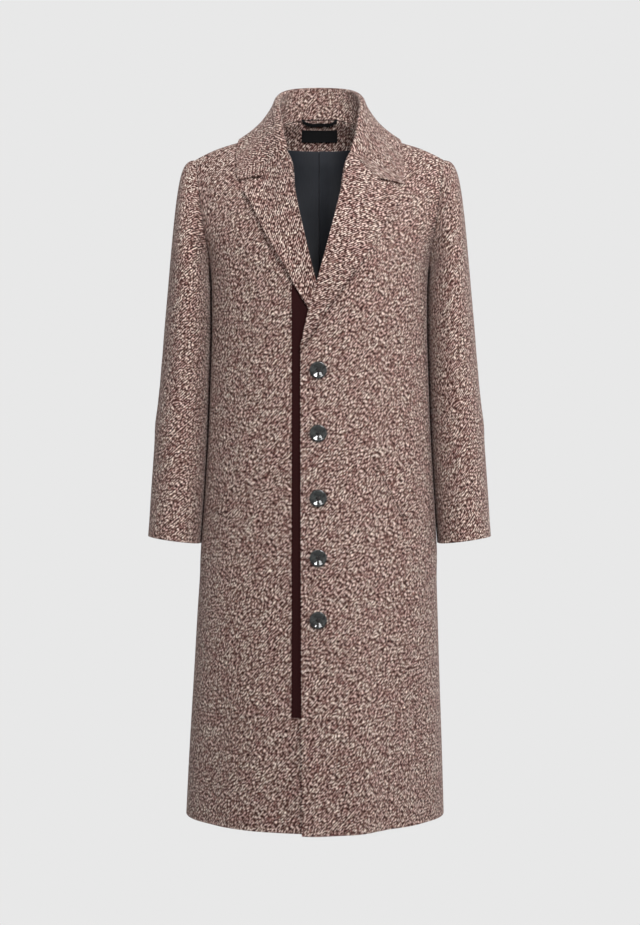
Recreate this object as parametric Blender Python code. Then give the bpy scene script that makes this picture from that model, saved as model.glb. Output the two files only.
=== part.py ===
"""Long single-breasted overcoat with notched lapels, filled out as if worn and hollow inside.

Metres, +Z up. The front faces -Y and +X is the wearer's left. The origin is the middle of
the neck, level with the seam that joins the collar to the back.
"""
import math

import bpy
import numpy as np
from mathutils import Vector

# Cloth and gaps
CLOTH = 0.0025
FOLDED_CLOTH = 0.0038
LINING_CLOTH = 0.001
SEAM = 0.0004
LAY_GAP = 0.0013
ROLL_LIFT = 0.003
HIDDEN_THINNING = 0.0022

# Lengths that set the cut
HEM = -1.182
NAPE = 0.0
UNDERARM = -0.265
NECK_POINT_X = 0.088
SHOULDER_TIP_X = 0.209
LAPEL_BREAK = -0.412
STRIP_END = -1.0005
FRONT_SHOULDER_DEPTH = 0.27
FRONT_SHOULDER_ROUND = 1.55
BACK_SHOULDER_DEPTH = 0.15
BACK_SHOULDER_ROUND = 2.0
SEAM_FORWARD = 0.012

# Overlap of the fronts: how far the upper front is lifted, and where that ends
OVERLAP_LIFT = 0.0068
OVERLAP_FULL_X = 0.045
OVERLAP_END_X = 0.120

# Buttons
BUTTON_X = -0.002
BUTTON_COLUMNS = ("height", "lift")
BUTTONS = (
    (-0.4445, 0.00025),
    (-0.5465, 0.00020),
    (-0.6507, 0.00000),
    (-0.7466, -0.00010),
    (-0.8454, -0.00015),
)

# Colours, linear
TWILL = (0.21, 0.145, 0.125, 1.0)
BURGUNDY = (0.025, 0.007, 0.007, 1.0)
SATIN = (0.035, 0.034, 0.038, 1.0)
BLACK = (0.012, 0.012, 0.013, 1.0)
HORN = (0.05, 0.06, 0.055, 1.0)

# Sections of the body
BODY_COLUMNS = ("height", "half_width", "front", "back", "shift", "squareness")
BODY = (
    (-1.240, 0.2200, 0.1690, 0.1500, -0.0078, 2.05),
    (-1.096, 0.2140, 0.1630, 0.1450, -0.0066, 2.05),
    (-0.927, 0.2060, 0.1530, 0.1340, -0.0045, 2.10),
    (-0.825, 0.2015, 0.1465, 0.1260, -0.0030, 2.15),
    (-0.732, 0.1965, 0.1410, 0.1200, -0.0010, 2.20),
    (-0.610, 0.1885, 0.1350, 0.1130, 0.0, 2.25),
    (-0.470, 0.1820, 0.1310, 0.1080, 0.0, 2.30),
    (-0.350, 0.1785, 0.1330, 0.1160, 0.0, 2.35),
    (-0.290, 0.1790, 0.1350, 0.1220, 0.0, 2.35),
    (-0.245, 0.1880, 0.1350, 0.1240, 0.0, 2.35),
    (-0.200, 0.2040, 0.1330, 0.1230, 0.0, 2.30),
    (-0.140, 0.2180, 0.1260, 0.1160, 0.0, 2.25),
    (-0.085, 0.2260, 0.1180, 0.1100, 0.0, 2.20),
    (0.050, 0.2300, 0.1080, 0.1060, 0.0, 2.20),
)

# Ridge of the shoulder, from the middle of the neck outwards
RIDGE_COLUMNS = ("x", "height")
RIDGE = (
    (0.000, 0.0380), (0.030, 0.0290), (0.055, 0.0080), (0.073, -0.0150), (0.088, -0.0335),
    (0.105, -0.0415), (0.130, -0.0495), (0.153, -0.0570), (0.173, -0.0640), (0.190, -0.0715),
    (0.209, -0.0815), (0.240, -0.0985),
)

# Neck seam across the back
BACK_NECK_COLUMNS = ("x", "height")
BACK_NECK = ((0.0, 0.0), (0.030, -0.0020), (0.055, -0.0110), (0.073, -0.0215), (0.088, -0.0335))

# Armholes, from the shoulder tip down to the underarm; x beside height
ARMHOLE_COLUMNS = ("height", "front_x", "back_x")
ARMHOLE = (
    (-0.0815, 0.2090, 0.2090),
    (-0.1100, 0.2055, 0.2065),
    (-0.1450, 0.2010, 0.2030),
    (-0.1850, 0.1955, 0.1980),
    (-0.2200, 0.1895, 0.1915),
    (-0.2480, 0.1848, 0.1855),
)

# Inner edges of the two fronts: down the front, up the roll line and round to the neck point
EDGE_COLUMNS = ("height", "left_x", "right_x")
EDGE = (
    (-1.2400, -0.0270, 0.0300),
    (-0.4120, -0.0305, 0.0290),
    (-0.3900, -0.0265, 0.0225),
    (-0.3380, -0.0150, 0.0065),
    (-0.3000, -0.0040, -0.0052),
    (-0.2216, 0.0170, -0.0245),
    (-0.1540, 0.0330, -0.0390),
    (-0.0850, 0.0480, -0.0500),
    (-0.0620, 0.0620, -0.0630),
    (-0.0450, 0.0770, -0.0770),
    (-0.0335, 0.0880, -0.0880),
)

# Free edges of the lapels, from the break up to the tip
LAPEL_EDGE_COLUMNS = ("height", "left_x", "right_x")
LAPEL_EDGE = (
    (-0.4120, -0.0280, 0.0270),
    (-0.3940, -0.0170, 0.0140),
    (-0.3570, 0.0056, -0.0090),
    (-0.3115, 0.0360, -0.0370),
    (-0.2825, 0.0570, -0.0520),
    (-0.2480, 0.0765, -0.0705),
    (-0.2090, 0.1005, -0.0915),
    (-0.1685, 0.1260, -0.1120),
    (-0.1490, 0.1290, -0.1240),
)
GORGE_TOP = {"left": (0.0480, -0.0850), "right": (-0.0500, -0.0850)}
NOTCH = {"left": (0.0940, -0.1255), "right": (-0.0900, -0.1215)}
LAPEL_TIP = {"left": (0.1290, -0.1490), "right": (-0.1240, -0.1460)}

# Collar, from the middle of the back forwards: crown of its fold, its free edge and its seam
COLLAR_COLUMNS = ("crown_x", "crown_y", "crown_z", "edge_x", "edge_z", "seam_x", "seam_z")
COLLAR = (
    (0.0000, 0.0880, 0.0600, 0.0000, -0.0240, 0.0000, 0.0000),
    (0.0255, 0.0840, 0.0585, 0.0400, -0.0290, 0.0300, -0.0020),
    (0.0478, 0.0690, 0.0530, 0.0770, -0.0470, 0.0550, -0.0110),
    (0.0592, 0.0470, 0.0440, 0.1060, -0.0620, 0.0740, -0.0222),
    (0.0638, 0.0340, 0.0375, 0.1245, -0.0600, 0.0825, -0.0288),
    (0.0665, 0.0200, 0.0290, 0.1330, -0.0510, 0.0880, -0.0335),
    (0.0675, 0.0070, 0.0195, 0.1370, -0.0580, 0.0840, -0.0385),
    (0.0670, -0.0060, 0.0090, 0.1385, -0.0760, 0.0785, -0.0440),
    (0.0640, -0.0310, -0.0150, 0.1390, -0.0920, 0.0680, -0.0550),
    (0.0595, -0.0530, -0.0425, 0.1385, -0.1040, 0.0580, -0.0680),
    (0.0540, -0.0720, -0.0680, 0.1380, -0.1130, 0.0505, -0.0800),
)
SHOULDER_ROW = 5
FOLD_RADIUS = 0.0047
FALL_HOLLOW = 0.008
FOLD_POINTS = 5
FALL_POINTS = 7
FLAT_START = 0.012
GORGE_ROWS = 4
COLLAR_CORNER = {"left": (0.1360, -0.1345), "right": (-0.1335, -0.1275)}
CORNER_MIDDLE = (0.1345, -0.1310)
STAND_CLOTH = 0.003
STEEPEST = 3.0
STAND_LIFT = 0.003
STAND_POINTS = 4
FACING_END = -0.0445
FACING_HALF = 0.072
FACING_SLACK = 0.0015
RIDGE_CLEARANCE = 0.002
FACING_CLOTH = 0.002

# Sleeves: ovals below the armhole
SLEEVE_COLUMNS = ("height", "inner_x", "outer_x", "middle_y", "half_depth")
SLEEVE = (
    (-0.300, 0.1815, 0.2555, 0.002, 0.0790),
    (-0.350, 0.1812, 0.2600, 0.002, 0.0790),
    (-0.430, 0.1828, 0.2668, 0.001, 0.0750),
    (-0.510, 0.1862, 0.2740, -0.004, 0.0700),
    (-0.600, 0.1905, 0.2800, -0.012, 0.0640),
    (-0.722, 0.1995, 0.2868, -0.024, 0.0580),
)
CUFF_RISE = 0.14
SLEEVE_TOP = -0.300

# Slanted pocket welts, given by the middle of the mouth's upper and lower end
WELT_TOP = (0.0950, -0.5660)
WELT_BOTTOM = (0.1540, -0.6800)
WELT_WIDTH = 0.034
WELT_CLOTH = 0.0016


def column(table, names, name):
    """One named column of a table, as numbers."""
    return np.array([row[names.index(name)] for row in table])


def track(table, names, along, name, value):
    """A smooth reading of one column at a value of the column called along."""
    xs = column(table, names, along)
    ys = column(table, names, name)
    if xs[0] > xs[-1]:
        xs, ys = xs[::-1], ys[::-1]
    steps = np.diff(xs)
    slopes = np.diff(ys) / steps
    tangents = np.empty_like(ys)
    tangents[0], tangents[-1] = slopes[0], slopes[-1]
    tangents[1:-1] = (slopes[:-1] * steps[1:] + slopes[1:] * steps[:-1]) / (steps[1:] + steps[:-1])
    flat = slopes[:-1] * slopes[1:] <= 0
    steepest = STEEPEST * np.minimum(np.abs(slopes[:-1]), np.abs(slopes[1:]))
    tangents[1:-1] = np.where(flat, 0.0, np.clip(tangents[1:-1], -steepest, steepest))
    value = min(max(value, xs[0]), xs[-1])
    cell = min(int(np.searchsorted(xs, value, side="right")) - 1, len(steps) - 1)
    t = (value - xs[cell]) / steps[cell]
    rise = ys[cell] * (2 * t**3 - 3 * t**2 + 1) + ys[cell + 1] * (3 * t**2 - 2 * t**3)
    lean = tangents[cell] * (t**3 - 2 * t**2 + t) + tangents[cell + 1] * (t**3 - t**2)
    return float(rise + lean * steps[cell])


def ease(low, high, value):
    """Smooth step from 0 at low to 1 at high; low may be the larger."""
    t = min(max((value - low) / (high - low), 0.0), 1.0)
    return t * t * (3 - 2 * t)


def body_row(height):
    """Half width, front depth, back depth, shift and squareness of the body at a height."""
    return [track(BODY, BODY_COLUMNS, "height", name, height) for name in BODY_COLUMNS[1:]]


def angle_of(x, height):
    """Angle round the body, from the middle of the front, of a point at x."""
    half, _, _, shift, power = body_row(height)
    ratio = min(max((x - shift) / half, -1.0), 1.0)
    return math.copysign(math.asin(abs(ratio) ** (power / 2)), ratio)


def flutes(angle, height, side):
    """Soft upright waves of the skirt, none at the waist and deepest at the hem."""
    reach = ease(-0.55, HEM, height)
    if side == "front":
        return reach * 0.0035 * math.cos(5.2 * angle - 0.6)
    return reach * 0.0045 * math.cos(5.0 * angle)


def body_point(angle, height, side):
    """A point of the outer cloth. Side is front or back, and angle 0 is its middle."""
    half, front, back, shift, power = body_row(height)
    fade = math.cos(angle) ** 2
    sine, cosine = math.sin(angle), max(math.cos(angle), 0.0)
    x = shift + half * math.copysign(abs(sine) ** (2 / power), sine)
    depth = front if side == "front" else back
    depth = (depth + flutes(angle, height, side) * fade) * cosine ** (2 / power)
    ridge = track(RIDGE, RIDGE_COLUMNS, "x", "height", abs(x))
    fall = FRONT_SHOULDER_DEPTH if side == "front" else BACK_SHOULDER_DEPTH
    round_by = FRONT_SHOULDER_ROUND if side == "front" else BACK_SHOULDER_ROUND
    drop = min(max((ridge - height) / fall, 0.0), 1.0)
    swell = (1 - (1 - drop) ** round_by) ** (1 / round_by)
    seam_y = SEAM_FORWARD * (1 - ease(NECK_POINT_X, 0.17, abs(x)))
    away = -1.0 if side == "front" else 1.0
    return np.array((x, seam_y * (1 - swell) + away * depth * swell, height))


def front_point(x, height):
    return body_point(angle_of(x, height), height, "front")


def front_normal(x, height):
    """Outward normal of the front at x and height."""
    step = 0.002
    ridge = track(RIDGE, RIDGE_COLUMNS, "x", "height", abs(x))
    base = min(height, ridge - 2 * step)
    across = front_point(x + step, base) - front_point(x - step, base)
    up = front_point(x, base + step) - front_point(x, base - step)
    normal = np.cross(across, up)
    return normal / np.linalg.norm(normal)


def overlap_lift(x, height):
    """How far the upper front stands out where it lies over the lower one."""
    return OVERLAP_LIFT * ease(-0.18, -0.27, height) * ease(OVERLAP_END_X, OVERLAP_FULL_X, x)


def on_front(hand, x, height, out):
    """A point of one front, moved out along its normal."""
    lift = overlap_lift(x, height) if hand == "left" else 0.0
    return front_point(x, height) + front_normal(x, height) * (lift + out)


def coons(bottom, top, left, right):
    """Blend four edge curves, given as lists of points, into a grid of rows."""
    bottom, top, left, right = (np.array(edge, dtype=float) for edge in (bottom, top, left, right))
    rows = []
    for j in range(len(left)):
        v = j / (len(left) - 1)
        row = []
        for i in range(len(bottom)):
            u = i / (len(bottom) - 1)
            corners = (1 - u) * (1 - v) * bottom[0] + u * (1 - v) * bottom[-1]
            corners = corners + (1 - u) * v * top[0] + u * v * top[-1]
            row.append((1 - v) * bottom[i] + v * top[i] + (1 - u) * left[j] + u * right[j] - corners)
        rows.append(row)
    return np.array(rows)


def pull_in(grid, gap):
    """Move the four edges of a grid inwards by half a seam gap."""
    out = grid.copy()
    for edge, inside in ((0, 1), (-1, -2)):
        lean = grid[inside] - grid[edge]
        out[edge] += gap * lean / np.linalg.norm(lean, axis=1)[:, None]
    for edge, inside in ((0, 1), (-1, -2)):
        lean = grid[:, inside] - grid[:, edge]
        out[:, edge] += gap * lean / np.linalg.norm(lean, axis=1)[:, None]
    return out


def grid_normals(grid):
    """Unit normals of a grid, along rows crossed with up the columns."""
    across = np.gradient(grid, axis=1)
    up = np.gradient(grid, axis=0)
    normals = np.cross(across, up)
    return normals / np.linalg.norm(normals, axis=2)[:, :, None]


def paint(name, colour, roughness):
    """A plain material of its own for one sub-part."""
    material = bpy.data.materials.new(name)
    material.use_nodes = True
    shader = material.node_tree.nodes["Principled BSDF"]
    shader.inputs["Base Color"].default_value = colour
    shader.inputs["Roughness"].default_value = roughness
    shader.inputs["Metallic"].default_value = 0.0
    return material


def add_object(name, points, faces, colour, roughness):
    mesh = bpy.data.meshes.new(name)
    mesh.from_pydata([tuple(point) for point in points], [], faces)
    mesh.shade_smooth()
    mesh.set_sharp_from_angle(angle=math.radians(35))
    mesh.materials.append(paint(name, colour, roughness))
    item = bpy.data.objects.new(name, mesh)
    bpy.context.scene.collection.objects.link(item)
    return item


def add_wall(name, outer, inner, colour=TWILL, roughness=0.9):
    """A closed wall between an outer and an inner grid; the normal side of outer faces out."""
    rows, columns = outer.shape[:2]
    count = rows * columns
    points = list(outer.reshape(-1, 3)) + list(inner.reshape(-1, 3))
    faces = []
    for j in range(rows - 1):
        for i in range(columns - 1):
            a = j * columns + i
            faces.append((a, a + 1, a + columns + 1, a + columns))
            b = a + count
            faces.append((b, b + columns, b + columns + 1, b + 1))
    rim = [i for i in range(columns)]
    rim += [j * columns + columns - 1 for j in range(1, rows)]
    rim += [(rows - 1) * columns + i for i in range(columns - 2, -1, -1)]
    rim += [j * columns for j in range(rows - 2, 0, -1)]
    for here, after in zip(rim, rim[1:] + rim[:1]):
        faces.append((after, here, here + count, after + count))
    return add_object(name, points, faces, colour, roughness)


def spread(count, start, end, crowd=1.0):
    """Evenly spaced values, crowded towards the end where crowd is over 1."""
    return [start + (end - start) * (1 - (1 - i / (count - 1)) ** crowd) for i in range(count)]


BODY_COLUMNS_COUNT = 10
SKIRT_ROWS = 13
CHEST_ROWS = 14
UNDERARM_POINTS = 4


def armhole_edge(side, count):
    """Angle and height down the armhole, from the underarm to the shoulder tip."""
    name = side + "_x"
    low = ARMHOLE[-1][0]
    points = []
    for k in range(UNDERARM_POINTS):
        turn = math.pi / 2 * k / UNDERARM_POINTS
        height = low - (low - UNDERARM) * math.cos(turn)
        low_angle = abs(angle_of(track(ARMHOLE, ARMHOLE_COLUMNS, "height", name, low), low))
        points.append((math.pi / 2 - (math.pi / 2 - low_angle) * math.sin(turn), height))
    for height in spread(count - UNDERARM_POINTS, low, ARMHOLE[0][0], 1.3):
        x = track(ARMHOLE, ARMHOLE_COLUMNS, "height", name, height)
        points.append((angle_of(x, height), height))
    return points


def front_edge(hand, heights):
    """Angle and height up the inner edge of one front, angles towards its own side seam."""
    mirror = 1.0 if hand == "left" else -1.0
    points = []
    for height in heights:
        x = track(EDGE, EDGE_COLUMNS, "height", hand + "_x", height)
        points.append((mirror * angle_of(x, height), height))
    return points


def shoulder_edge(start_angle_x, count):
    """Angle and height along the shoulder seam from the neck point to the tip."""
    points = []
    for x in np.linspace(start_angle_x, SHOULDER_TIP_X, count):
        height = track(RIDGE, RIDGE_COLUMNS, "x", "height", x)
        points.append((angle_of(x, height), height))
    return points


def level_edge(start_angle, height, count):
    return [(angle, height) for angle in np.linspace(start_angle, math.pi / 2, count)]


def hem_height(hand, angle):
    """The fronts hang a little lower than the sides, the upper front most."""
    extra = 0.0045 if hand == "left" else 0.0015
    reach = 0.6 if hand == "left" else 1.0
    return HEM - extra * ease(reach, 0.0, abs(angle))


def front_places(hand, columns, skirt_rows, chest_rows):
    """Angle and height of each grid point of one front, hem row first."""
    skirt = []
    for height in np.linspace(HEM, UNDERARM, skirt_rows):
        start = front_edge(hand, [height])[0][0]
        row = level_edge(start, height, columns)
        down = (UNDERARM - height) / (UNDERARM - HEM)
        skirt.append([(a, h + (hem_height(hand, a) - HEM) * down**8) for a, h in row])
    heights = spread(chest_rows, UNDERARM, EDGE[-1][0], 1.25)
    chest = coons(skirt[-1], shoulder_edge(NECK_POINT_X, columns),
                  front_edge(hand, heights), armhole_edge("front", chest_rows))
    return np.array(skirt[:-1] + [list(map(tuple, row)) for row in chest])


def front_grids(hand, columns, skirt_rows, chest_rows, thickness):
    """Outer and inner points of one front."""
    mirror = 1.0 if hand == "left" else -1.0
    places = front_places(hand, columns, skirt_rows, chest_rows)
    outer = np.zeros(places.shape[:2] + (3,))
    for j, row in enumerate(places):
        for i, (angle, height) in enumerate(row):
            outer[j, i] = body_point(mirror * angle, height, "front")
    normals = grid_normals(outer) * mirror
    normals[:skirt_rows, -1, 1:] = 0.0
    normals[-1] = ridge_normals(outer[-1])
    normals /= np.linalg.norm(normals, axis=2)[:, :, None]
    if hand == "left":
        for j, i in np.ndindex(outer.shape[:2]):
            outer[j, i] += normals[j, i] * overlap_lift(outer[j, i, 0], outer[j, i, 2])
    outer = pull_in(outer, SEAM)
    return outer, outer - normals * thickness


def ridge_normals(points):
    """Normals along a shoulder seam: square to it, upwards, in the plane of the shoulders."""
    along = np.gradient(points, axis=0)
    normals = np.stack((-along[:, 2], np.zeros(len(points)), along[:, 0]), axis=1)
    return normals * np.sign(along[:, 0])[:, None]


def face_out(hand, grid):
    """Right-hand grids run the other way, so their columns are turned round."""
    return grid if hand == "left" else grid[:, ::-1]


def make_front(hand):
    outer, inner = front_grids(hand, BODY_COLUMNS_COUNT, SKIRT_ROWS, CHEST_ROWS, CLOTH)
    return add_wall("front_" + hand, face_out(hand, outer), face_out(hand, inner))


NECK_COLUMNS = 4


def back_places(columns, skirt_rows, chest_rows):
    """Angle and height of each grid point of one half of the back, hem row first."""
    skirt = [level_edge(0.0, height, columns) for height in np.linspace(HEM, UNDERARM, skirt_rows)]
    top = []
    for x in np.linspace(0.0, NECK_POINT_X, NECK_COLUMNS + 1)[:-1]:
        height = track(BACK_NECK, BACK_NECK_COLUMNS, "x", "height", x)
        top.append((angle_of(x, height), height))
    top += shoulder_edge(NECK_POINT_X, columns - NECK_COLUMNS)
    heights = spread(chest_rows, UNDERARM, NAPE, 1.0)
    chest = coons(skirt[-1], top, [(0.0, height) for height in heights],
                  armhole_edge("back", chest_rows))
    return np.array(skirt[:-1] + [list(map(tuple, row)) for row in chest])


def back_grids(hand, columns, skirt_rows, chest_rows, depth, thickness):
    """Outer and inner points of one half of the back, set in from its face by depth."""
    mirror = 1.0 if hand == "left" else -1.0
    places = back_places(columns, skirt_rows, chest_rows)
    outer = np.zeros(places.shape[:2] + (3,))
    for j, row in enumerate(places):
        for i, (angle, height) in enumerate(row):
            outer[j, i] = body_point(mirror * angle, height, "back")
    normals = grid_normals(outer) * -mirror
    normals[:skirt_rows, -1, 1:] = 0.0
    normals[:, 0, 0] = 0.0
    normals[-1, NECK_COLUMNS:] = ridge_normals(outer[-1, NECK_COLUMNS:])
    normals /= np.linalg.norm(normals, axis=2)[:, :, None]
    face = outer - normals * depth
    if depth == 0.0:
        face = pull_in(face, SEAM)
    return face, face - normals * thickness


def make_back(hand):
    outer, inner = back_grids(hand, BODY_COLUMNS_COUNT, SKIRT_ROWS, CHEST_ROWS, 0.0, CLOTH)
    other = "right" if hand == "left" else "left"
    return add_wall("back_" + hand, face_out(other, outer), face_out(other, inner))


def sleeve_row(height):
    return [track(SLEEVE, SLEEVE_COLUMNS, "height", name, height) for name in SLEEVE_COLUMNS[1:]]


def sleeve_oval(turn, height):
    """A point of the left sleeve below its cap. Turn 0 is the front, a quarter is outside."""
    inner, outer, middle, half_depth = sleeve_row(height)
    half = (outer - inner) / 2
    x = (outer + inner) / 2 + half * math.sin(turn)
    rise = CUFF_RISE * half * math.sin(turn) * ease(-0.60, -0.722, height)
    return np.array((x, middle - half_depth * math.cos(turn), height + rise))


def armhole_loop(turn):
    """A point of the left armhole. Turn runs from the front to outside to the back."""
    wrapped = (turn + math.pi / 2) % (2 * math.pi)
    side = "front" if wrapped <= math.pi else "back"
    share = wrapped / math.pi if side == "front" else (2 * math.pi - wrapped) / math.pi
    places = armhole_edge(side, 24)
    points = np.array([body_point(angle, height, side) for angle, height in places])
    lengths = np.concatenate(((0,), np.cumsum(np.linalg.norm(np.diff(points, axis=0), axis=1))))
    target = share * lengths[-1]
    return np.array([np.interp(target, lengths, points[:, axis]) for axis in range(3)])


def sleeve_cap(turn, share):
    """A point of the cap, from the armhole at share 0 to the first oval at share 1."""
    start = armhole_loop(turn)
    end = sleeve_oval(turn, SLEEVE_TOP)
    outside = max(math.sin(turn), 0.0)
    leave = np.array((0.35 + 0.65 * outside, -0.75 * math.cos(turn), -0.45 + 0.42 * outside))
    under = max(-math.sin(turn), 0.0)
    leave = leave * (1 - under) + np.array((0.25, 0.0, -1.0)) * under
    leave /= np.linalg.norm(leave)
    span = np.linalg.norm(end - start)
    arrive = np.array((0.085 * math.sin(turn), 0.0, -1.0))
    first = start + leave * min(0.029, 0.4 * span)
    second = end - arrive * blend_length(outside, span, start[2] - end[2])
    weights = ((1 - share) ** 3, 3 * share * (1 - share) ** 2, 3 * share**2 * (1 - share), share**3)
    return sum(weight * point for weight, point in zip(weights, (start, first, second, end)))


def blend_length(outside, span, fall):
    """Length of the lower handle of the cap's curves, longest on the outside."""
    return 0.55 * span * (1 - outside) + 0.86 * fall * outside


CAP_ROWS = 7
SLEEVE_ROWS = 11
FRONT_SEAM_TURN = math.radians(-38)
BACK_SEAM_TURN = math.radians(206)


def sleeve_grid(first_turn, last_turn, columns, cap_rows, rows):
    """Outer points of part of the left sleeve, cuff row first."""
    heights = np.linspace(SLEEVE[-1][0], SLEEVE_TOP, rows)
    turns = np.linspace(first_turn, last_turn, columns)
    grid = [[sleeve_oval(turn, height) for turn in turns] for height in heights]
    for share in np.linspace(1, 0, cap_rows + 1)[1:]:
        grid.append([sleeve_cap(turn, share) for turn in turns])
    return np.array(grid)


def make_sleeve(hand, part, first_turn, last_turn, columns):
    step = (last_turn - first_turn) / (columns - 1)
    wide = sleeve_grid(first_turn - step, last_turn + step, columns + 2, CAP_ROWS, SLEEVE_ROWS)
    outer = wide[:, 1:-1]
    normals = grid_normals(wide)[:, 1:-1]
    outer = pull_in(outer, SEAM)
    outer[-1] += np.array((2 * SEAM, 0.0, 0.0))
    inner = outer - normals * CLOTH
    if hand == "right":
        outer, inner = outer * (-1, 1, 1), inner * (-1, 1, 1)
    name = "sleeve_" + hand + "_" + part
    return add_wall(name, face_out(hand, outer), face_out(hand, inner))


def lapel_places(hand, columns, rows):
    """x and height of each grid point of a lapel, break first."""
    heights = np.linspace(LAPEL_BREAK + 0.004, GORGE_TOP[hand][1], rows)
    roll = [(track(EDGE, EDGE_COLUMNS, "height", hand + "_x", h), h) for h in heights]
    tip = LAPEL_TIP[hand]
    free = []
    for height in np.linspace(LAPEL_BREAK + 0.004, tip[1], rows):
        free.append((track(LAPEL_EDGE, LAPEL_EDGE_COLUMNS, "height", hand + "_x", height), height))
    free[-1] = tip
    half = columns // 2
    notch = np.array(NOTCH[hand])
    top = [tuple(p) for p in np.linspace(GORGE_TOP[hand], notch, half + 1)]
    top += [tuple(p) for p in np.linspace(notch, tip, columns - half)[1:]]
    bottom = [tuple(p) for p in np.linspace(roll[0], free[0], columns)]
    return coons(bottom, top, roll, free)


def roll_lift(share, height):
    """The lapel stands off the front where it rolls over."""
    return ROLL_LIFT * (1 - min(share / 0.3, 1.0)) ** 2 * ease(-0.30, -0.22, height)


def make_lapel(hand):
    columns, rows = 9, 15
    places = lapel_places(hand, columns, rows)
    outer = np.zeros(places.shape[:2] + (3,))
    inner = outer.copy()
    for j, i in np.ndindex(outer.shape[:2]):
        x, height = places[j, i]
        gap = LAY_GAP + roll_lift(i / (columns - 1), height)
        thickness = FOLDED_CLOTH
        if hand == "right":
            thickness -= HIDDEN_THINNING * ease(-0.24, -0.30, height)
        inner[j, i] = on_front(hand, x, height, gap)
        outer[j, i] = on_front(hand, x, height, gap + thickness)
    return add_wall("lapel_" + hand, face_out(hand, outer), face_out(hand, inner))


def surface_normal(x, height, side):
    """Outward normal of the front or the back."""
    if side == "front":
        return front_normal(x, height)
    step = 0.002
    ridge = track(RIDGE, RIDGE_COLUMNS, "x", "height", abs(x))
    base = min(height, ridge - 2 * step)
    places = ((x + step, base), (x - step, base), (x, base + step), (x, base - step))
    right, left, high, low = (body_point(angle_of(px, pz), pz, side) for px, pz in places)
    normal = np.cross(high - low, right - left)
    return normal / np.linalg.norm(normal)


def lying_point(x, height, side, out):
    """A point at a distance out from the front or the back."""
    ridge = track(RIDGE, RIDGE_COLUMNS, "x", "height", abs(x))
    base = min(height, ridge)
    point = body_point(angle_of(x, base), base, side)
    if side == "ridge":
        return point + np.array((math.copysign(0.35, x), 0.0, 0.94)) * (out + RIDGE_CLEARANCE)
    return point + surface_normal(x, base, side) * out


def collar_stations(hand):
    """Crown, free edge and lying share of each collar row of one side, back first."""
    mirror = 1.0 if hand == "left" else -1.0
    on_top = LAY_GAP + FOLDED_CLOTH
    corner = np.array(COLLAR_CORNER[hand])
    tilt = corner - np.array((mirror * CORNER_MIDDLE[0], CORNER_MIDDLE[1]))
    stations = []
    for k, row in enumerate(COLLAR):
        crown = np.array((mirror * row[0], row[1], row[2]))
        side = "back" if k < SHOULDER_ROW else "ridge" if k == SHOULDER_ROW else "front"
        share = max(k - SHOULDER_ROW, 0) / (len(COLLAR) + GORGE_ROWS - 1 - SHOULDER_ROW)
        edge = np.array((mirror * row[3], row[4])) + tilt * share
        stations.append((crown, lying_point(edge[0], edge[1], side, on_top), edge))
    start, notch = np.array(GORGE_TOP[hand]), np.array(NOTCH[hand])
    first_edge = stations[-1][2]
    for k in range(GORGE_ROWS):
        share = k / (GORGE_ROWS - 1)
        seam = start + (notch - start) * share
        edge = first_edge + (corner - first_edge) * (k + 1) / GORGE_ROWS
        crown = on_front(hand, seam[0], seam[1], on_top + ROLL_LIFT * (1 - share) ** 2)
        stations.append((crown, lying_point(edge[0], edge[1], "front", on_top), edge))
    return stations


def collar_profiles(hand):
    """Outer points and outward directions of the collar's fall, one row for each station."""
    stations = collar_stations(hand)
    crowns = np.array([station[0] for station in stations])
    mirror = 1.0 if hand == "left" else -1.0
    tangents = np.gradient(crowns, axis=0) * mirror
    tangents[0] = (1.0, 0.0, 0.0)
    folded_rows = len(COLLAR)
    outer, outward = [], []
    for k, (crown, edge_point, edge) in enumerate(stations):
        fold = ease(folded_rows + 0.5, folded_rows - 2.5, k)
        bridge = ease(len(stations) - 1, SHOULDER_ROW + 1, k)
        down = edge_point - crown
        down /= np.linalg.norm(down)
        normal = np.cross(tangents[k], down)
        normal /= np.linalg.norm(normal)
        middle = crown + down * FOLD_RADIUS
        row, directions = [], []
        for j in range(FOLD_POINTS):
            turn = math.pi / 2 - fold * math.pi * (1 - j / (FOLD_POINTS - 1))
            curl = normal * math.sin(turn) - down * math.cos(turn)
            flat = crown + down * FLAT_START * j / (FOLD_POINTS - 1)
            row.append(fold * (middle + curl * FOLD_RADIUS) + (1 - fold) * flat)
            directions.append(curl)
        start = row[-1]
        for j in range(1, FALL_POINTS):
            share = j / (FALL_POINTS - 1)
            hollow = FALL_HOLLOW * math.sin(math.pi * share) * ease(0.0, 2.5, k) * ease(10.0, 6.0, k)
            point = start + (edge_point - start) * share - normal * hollow
            if k > SHOULDER_ROW:
                flat_xz = np.array((start[0], start[2])) * (1 - share) + edge * share
                lying = on_front(hand, flat_xz[0], flat_xz[1], LAY_GAP + FOLDED_CLOTH)
                settle = (1 - bridge) * min(3 * share, 1.0)
                point = point * (1 - settle) + lying * settle
            row.append(point)
            directions.append(normal)
        outer.append(row)
        outward.append(directions)
    outer, outward = np.array(outer), np.array(outward)
    lie = grid_normals(outer) * -mirror
    outward[:, FOLD_POINTS:] = lie[:, FOLD_POINTS:]
    outward /= np.linalg.norm(outward, axis=2)[:, :, None]
    return outer, outward


def both_sides(left, right):
    """Join two half grids that share their first row, right end first."""
    return np.concatenate((right[:0:-1], left))


def make_collar_fall():
    left, left_out = collar_profiles("left")
    right, right_out = collar_profiles("right")
    outer = both_sides(left, right)
    outward = both_sides(left_out, right_out)
    outer = pull_in(outer, SEAM)
    inner = outer - outward * FOLDED_CLOTH
    return add_wall("collar_fall", outer[::-1], inner[::-1])


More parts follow.
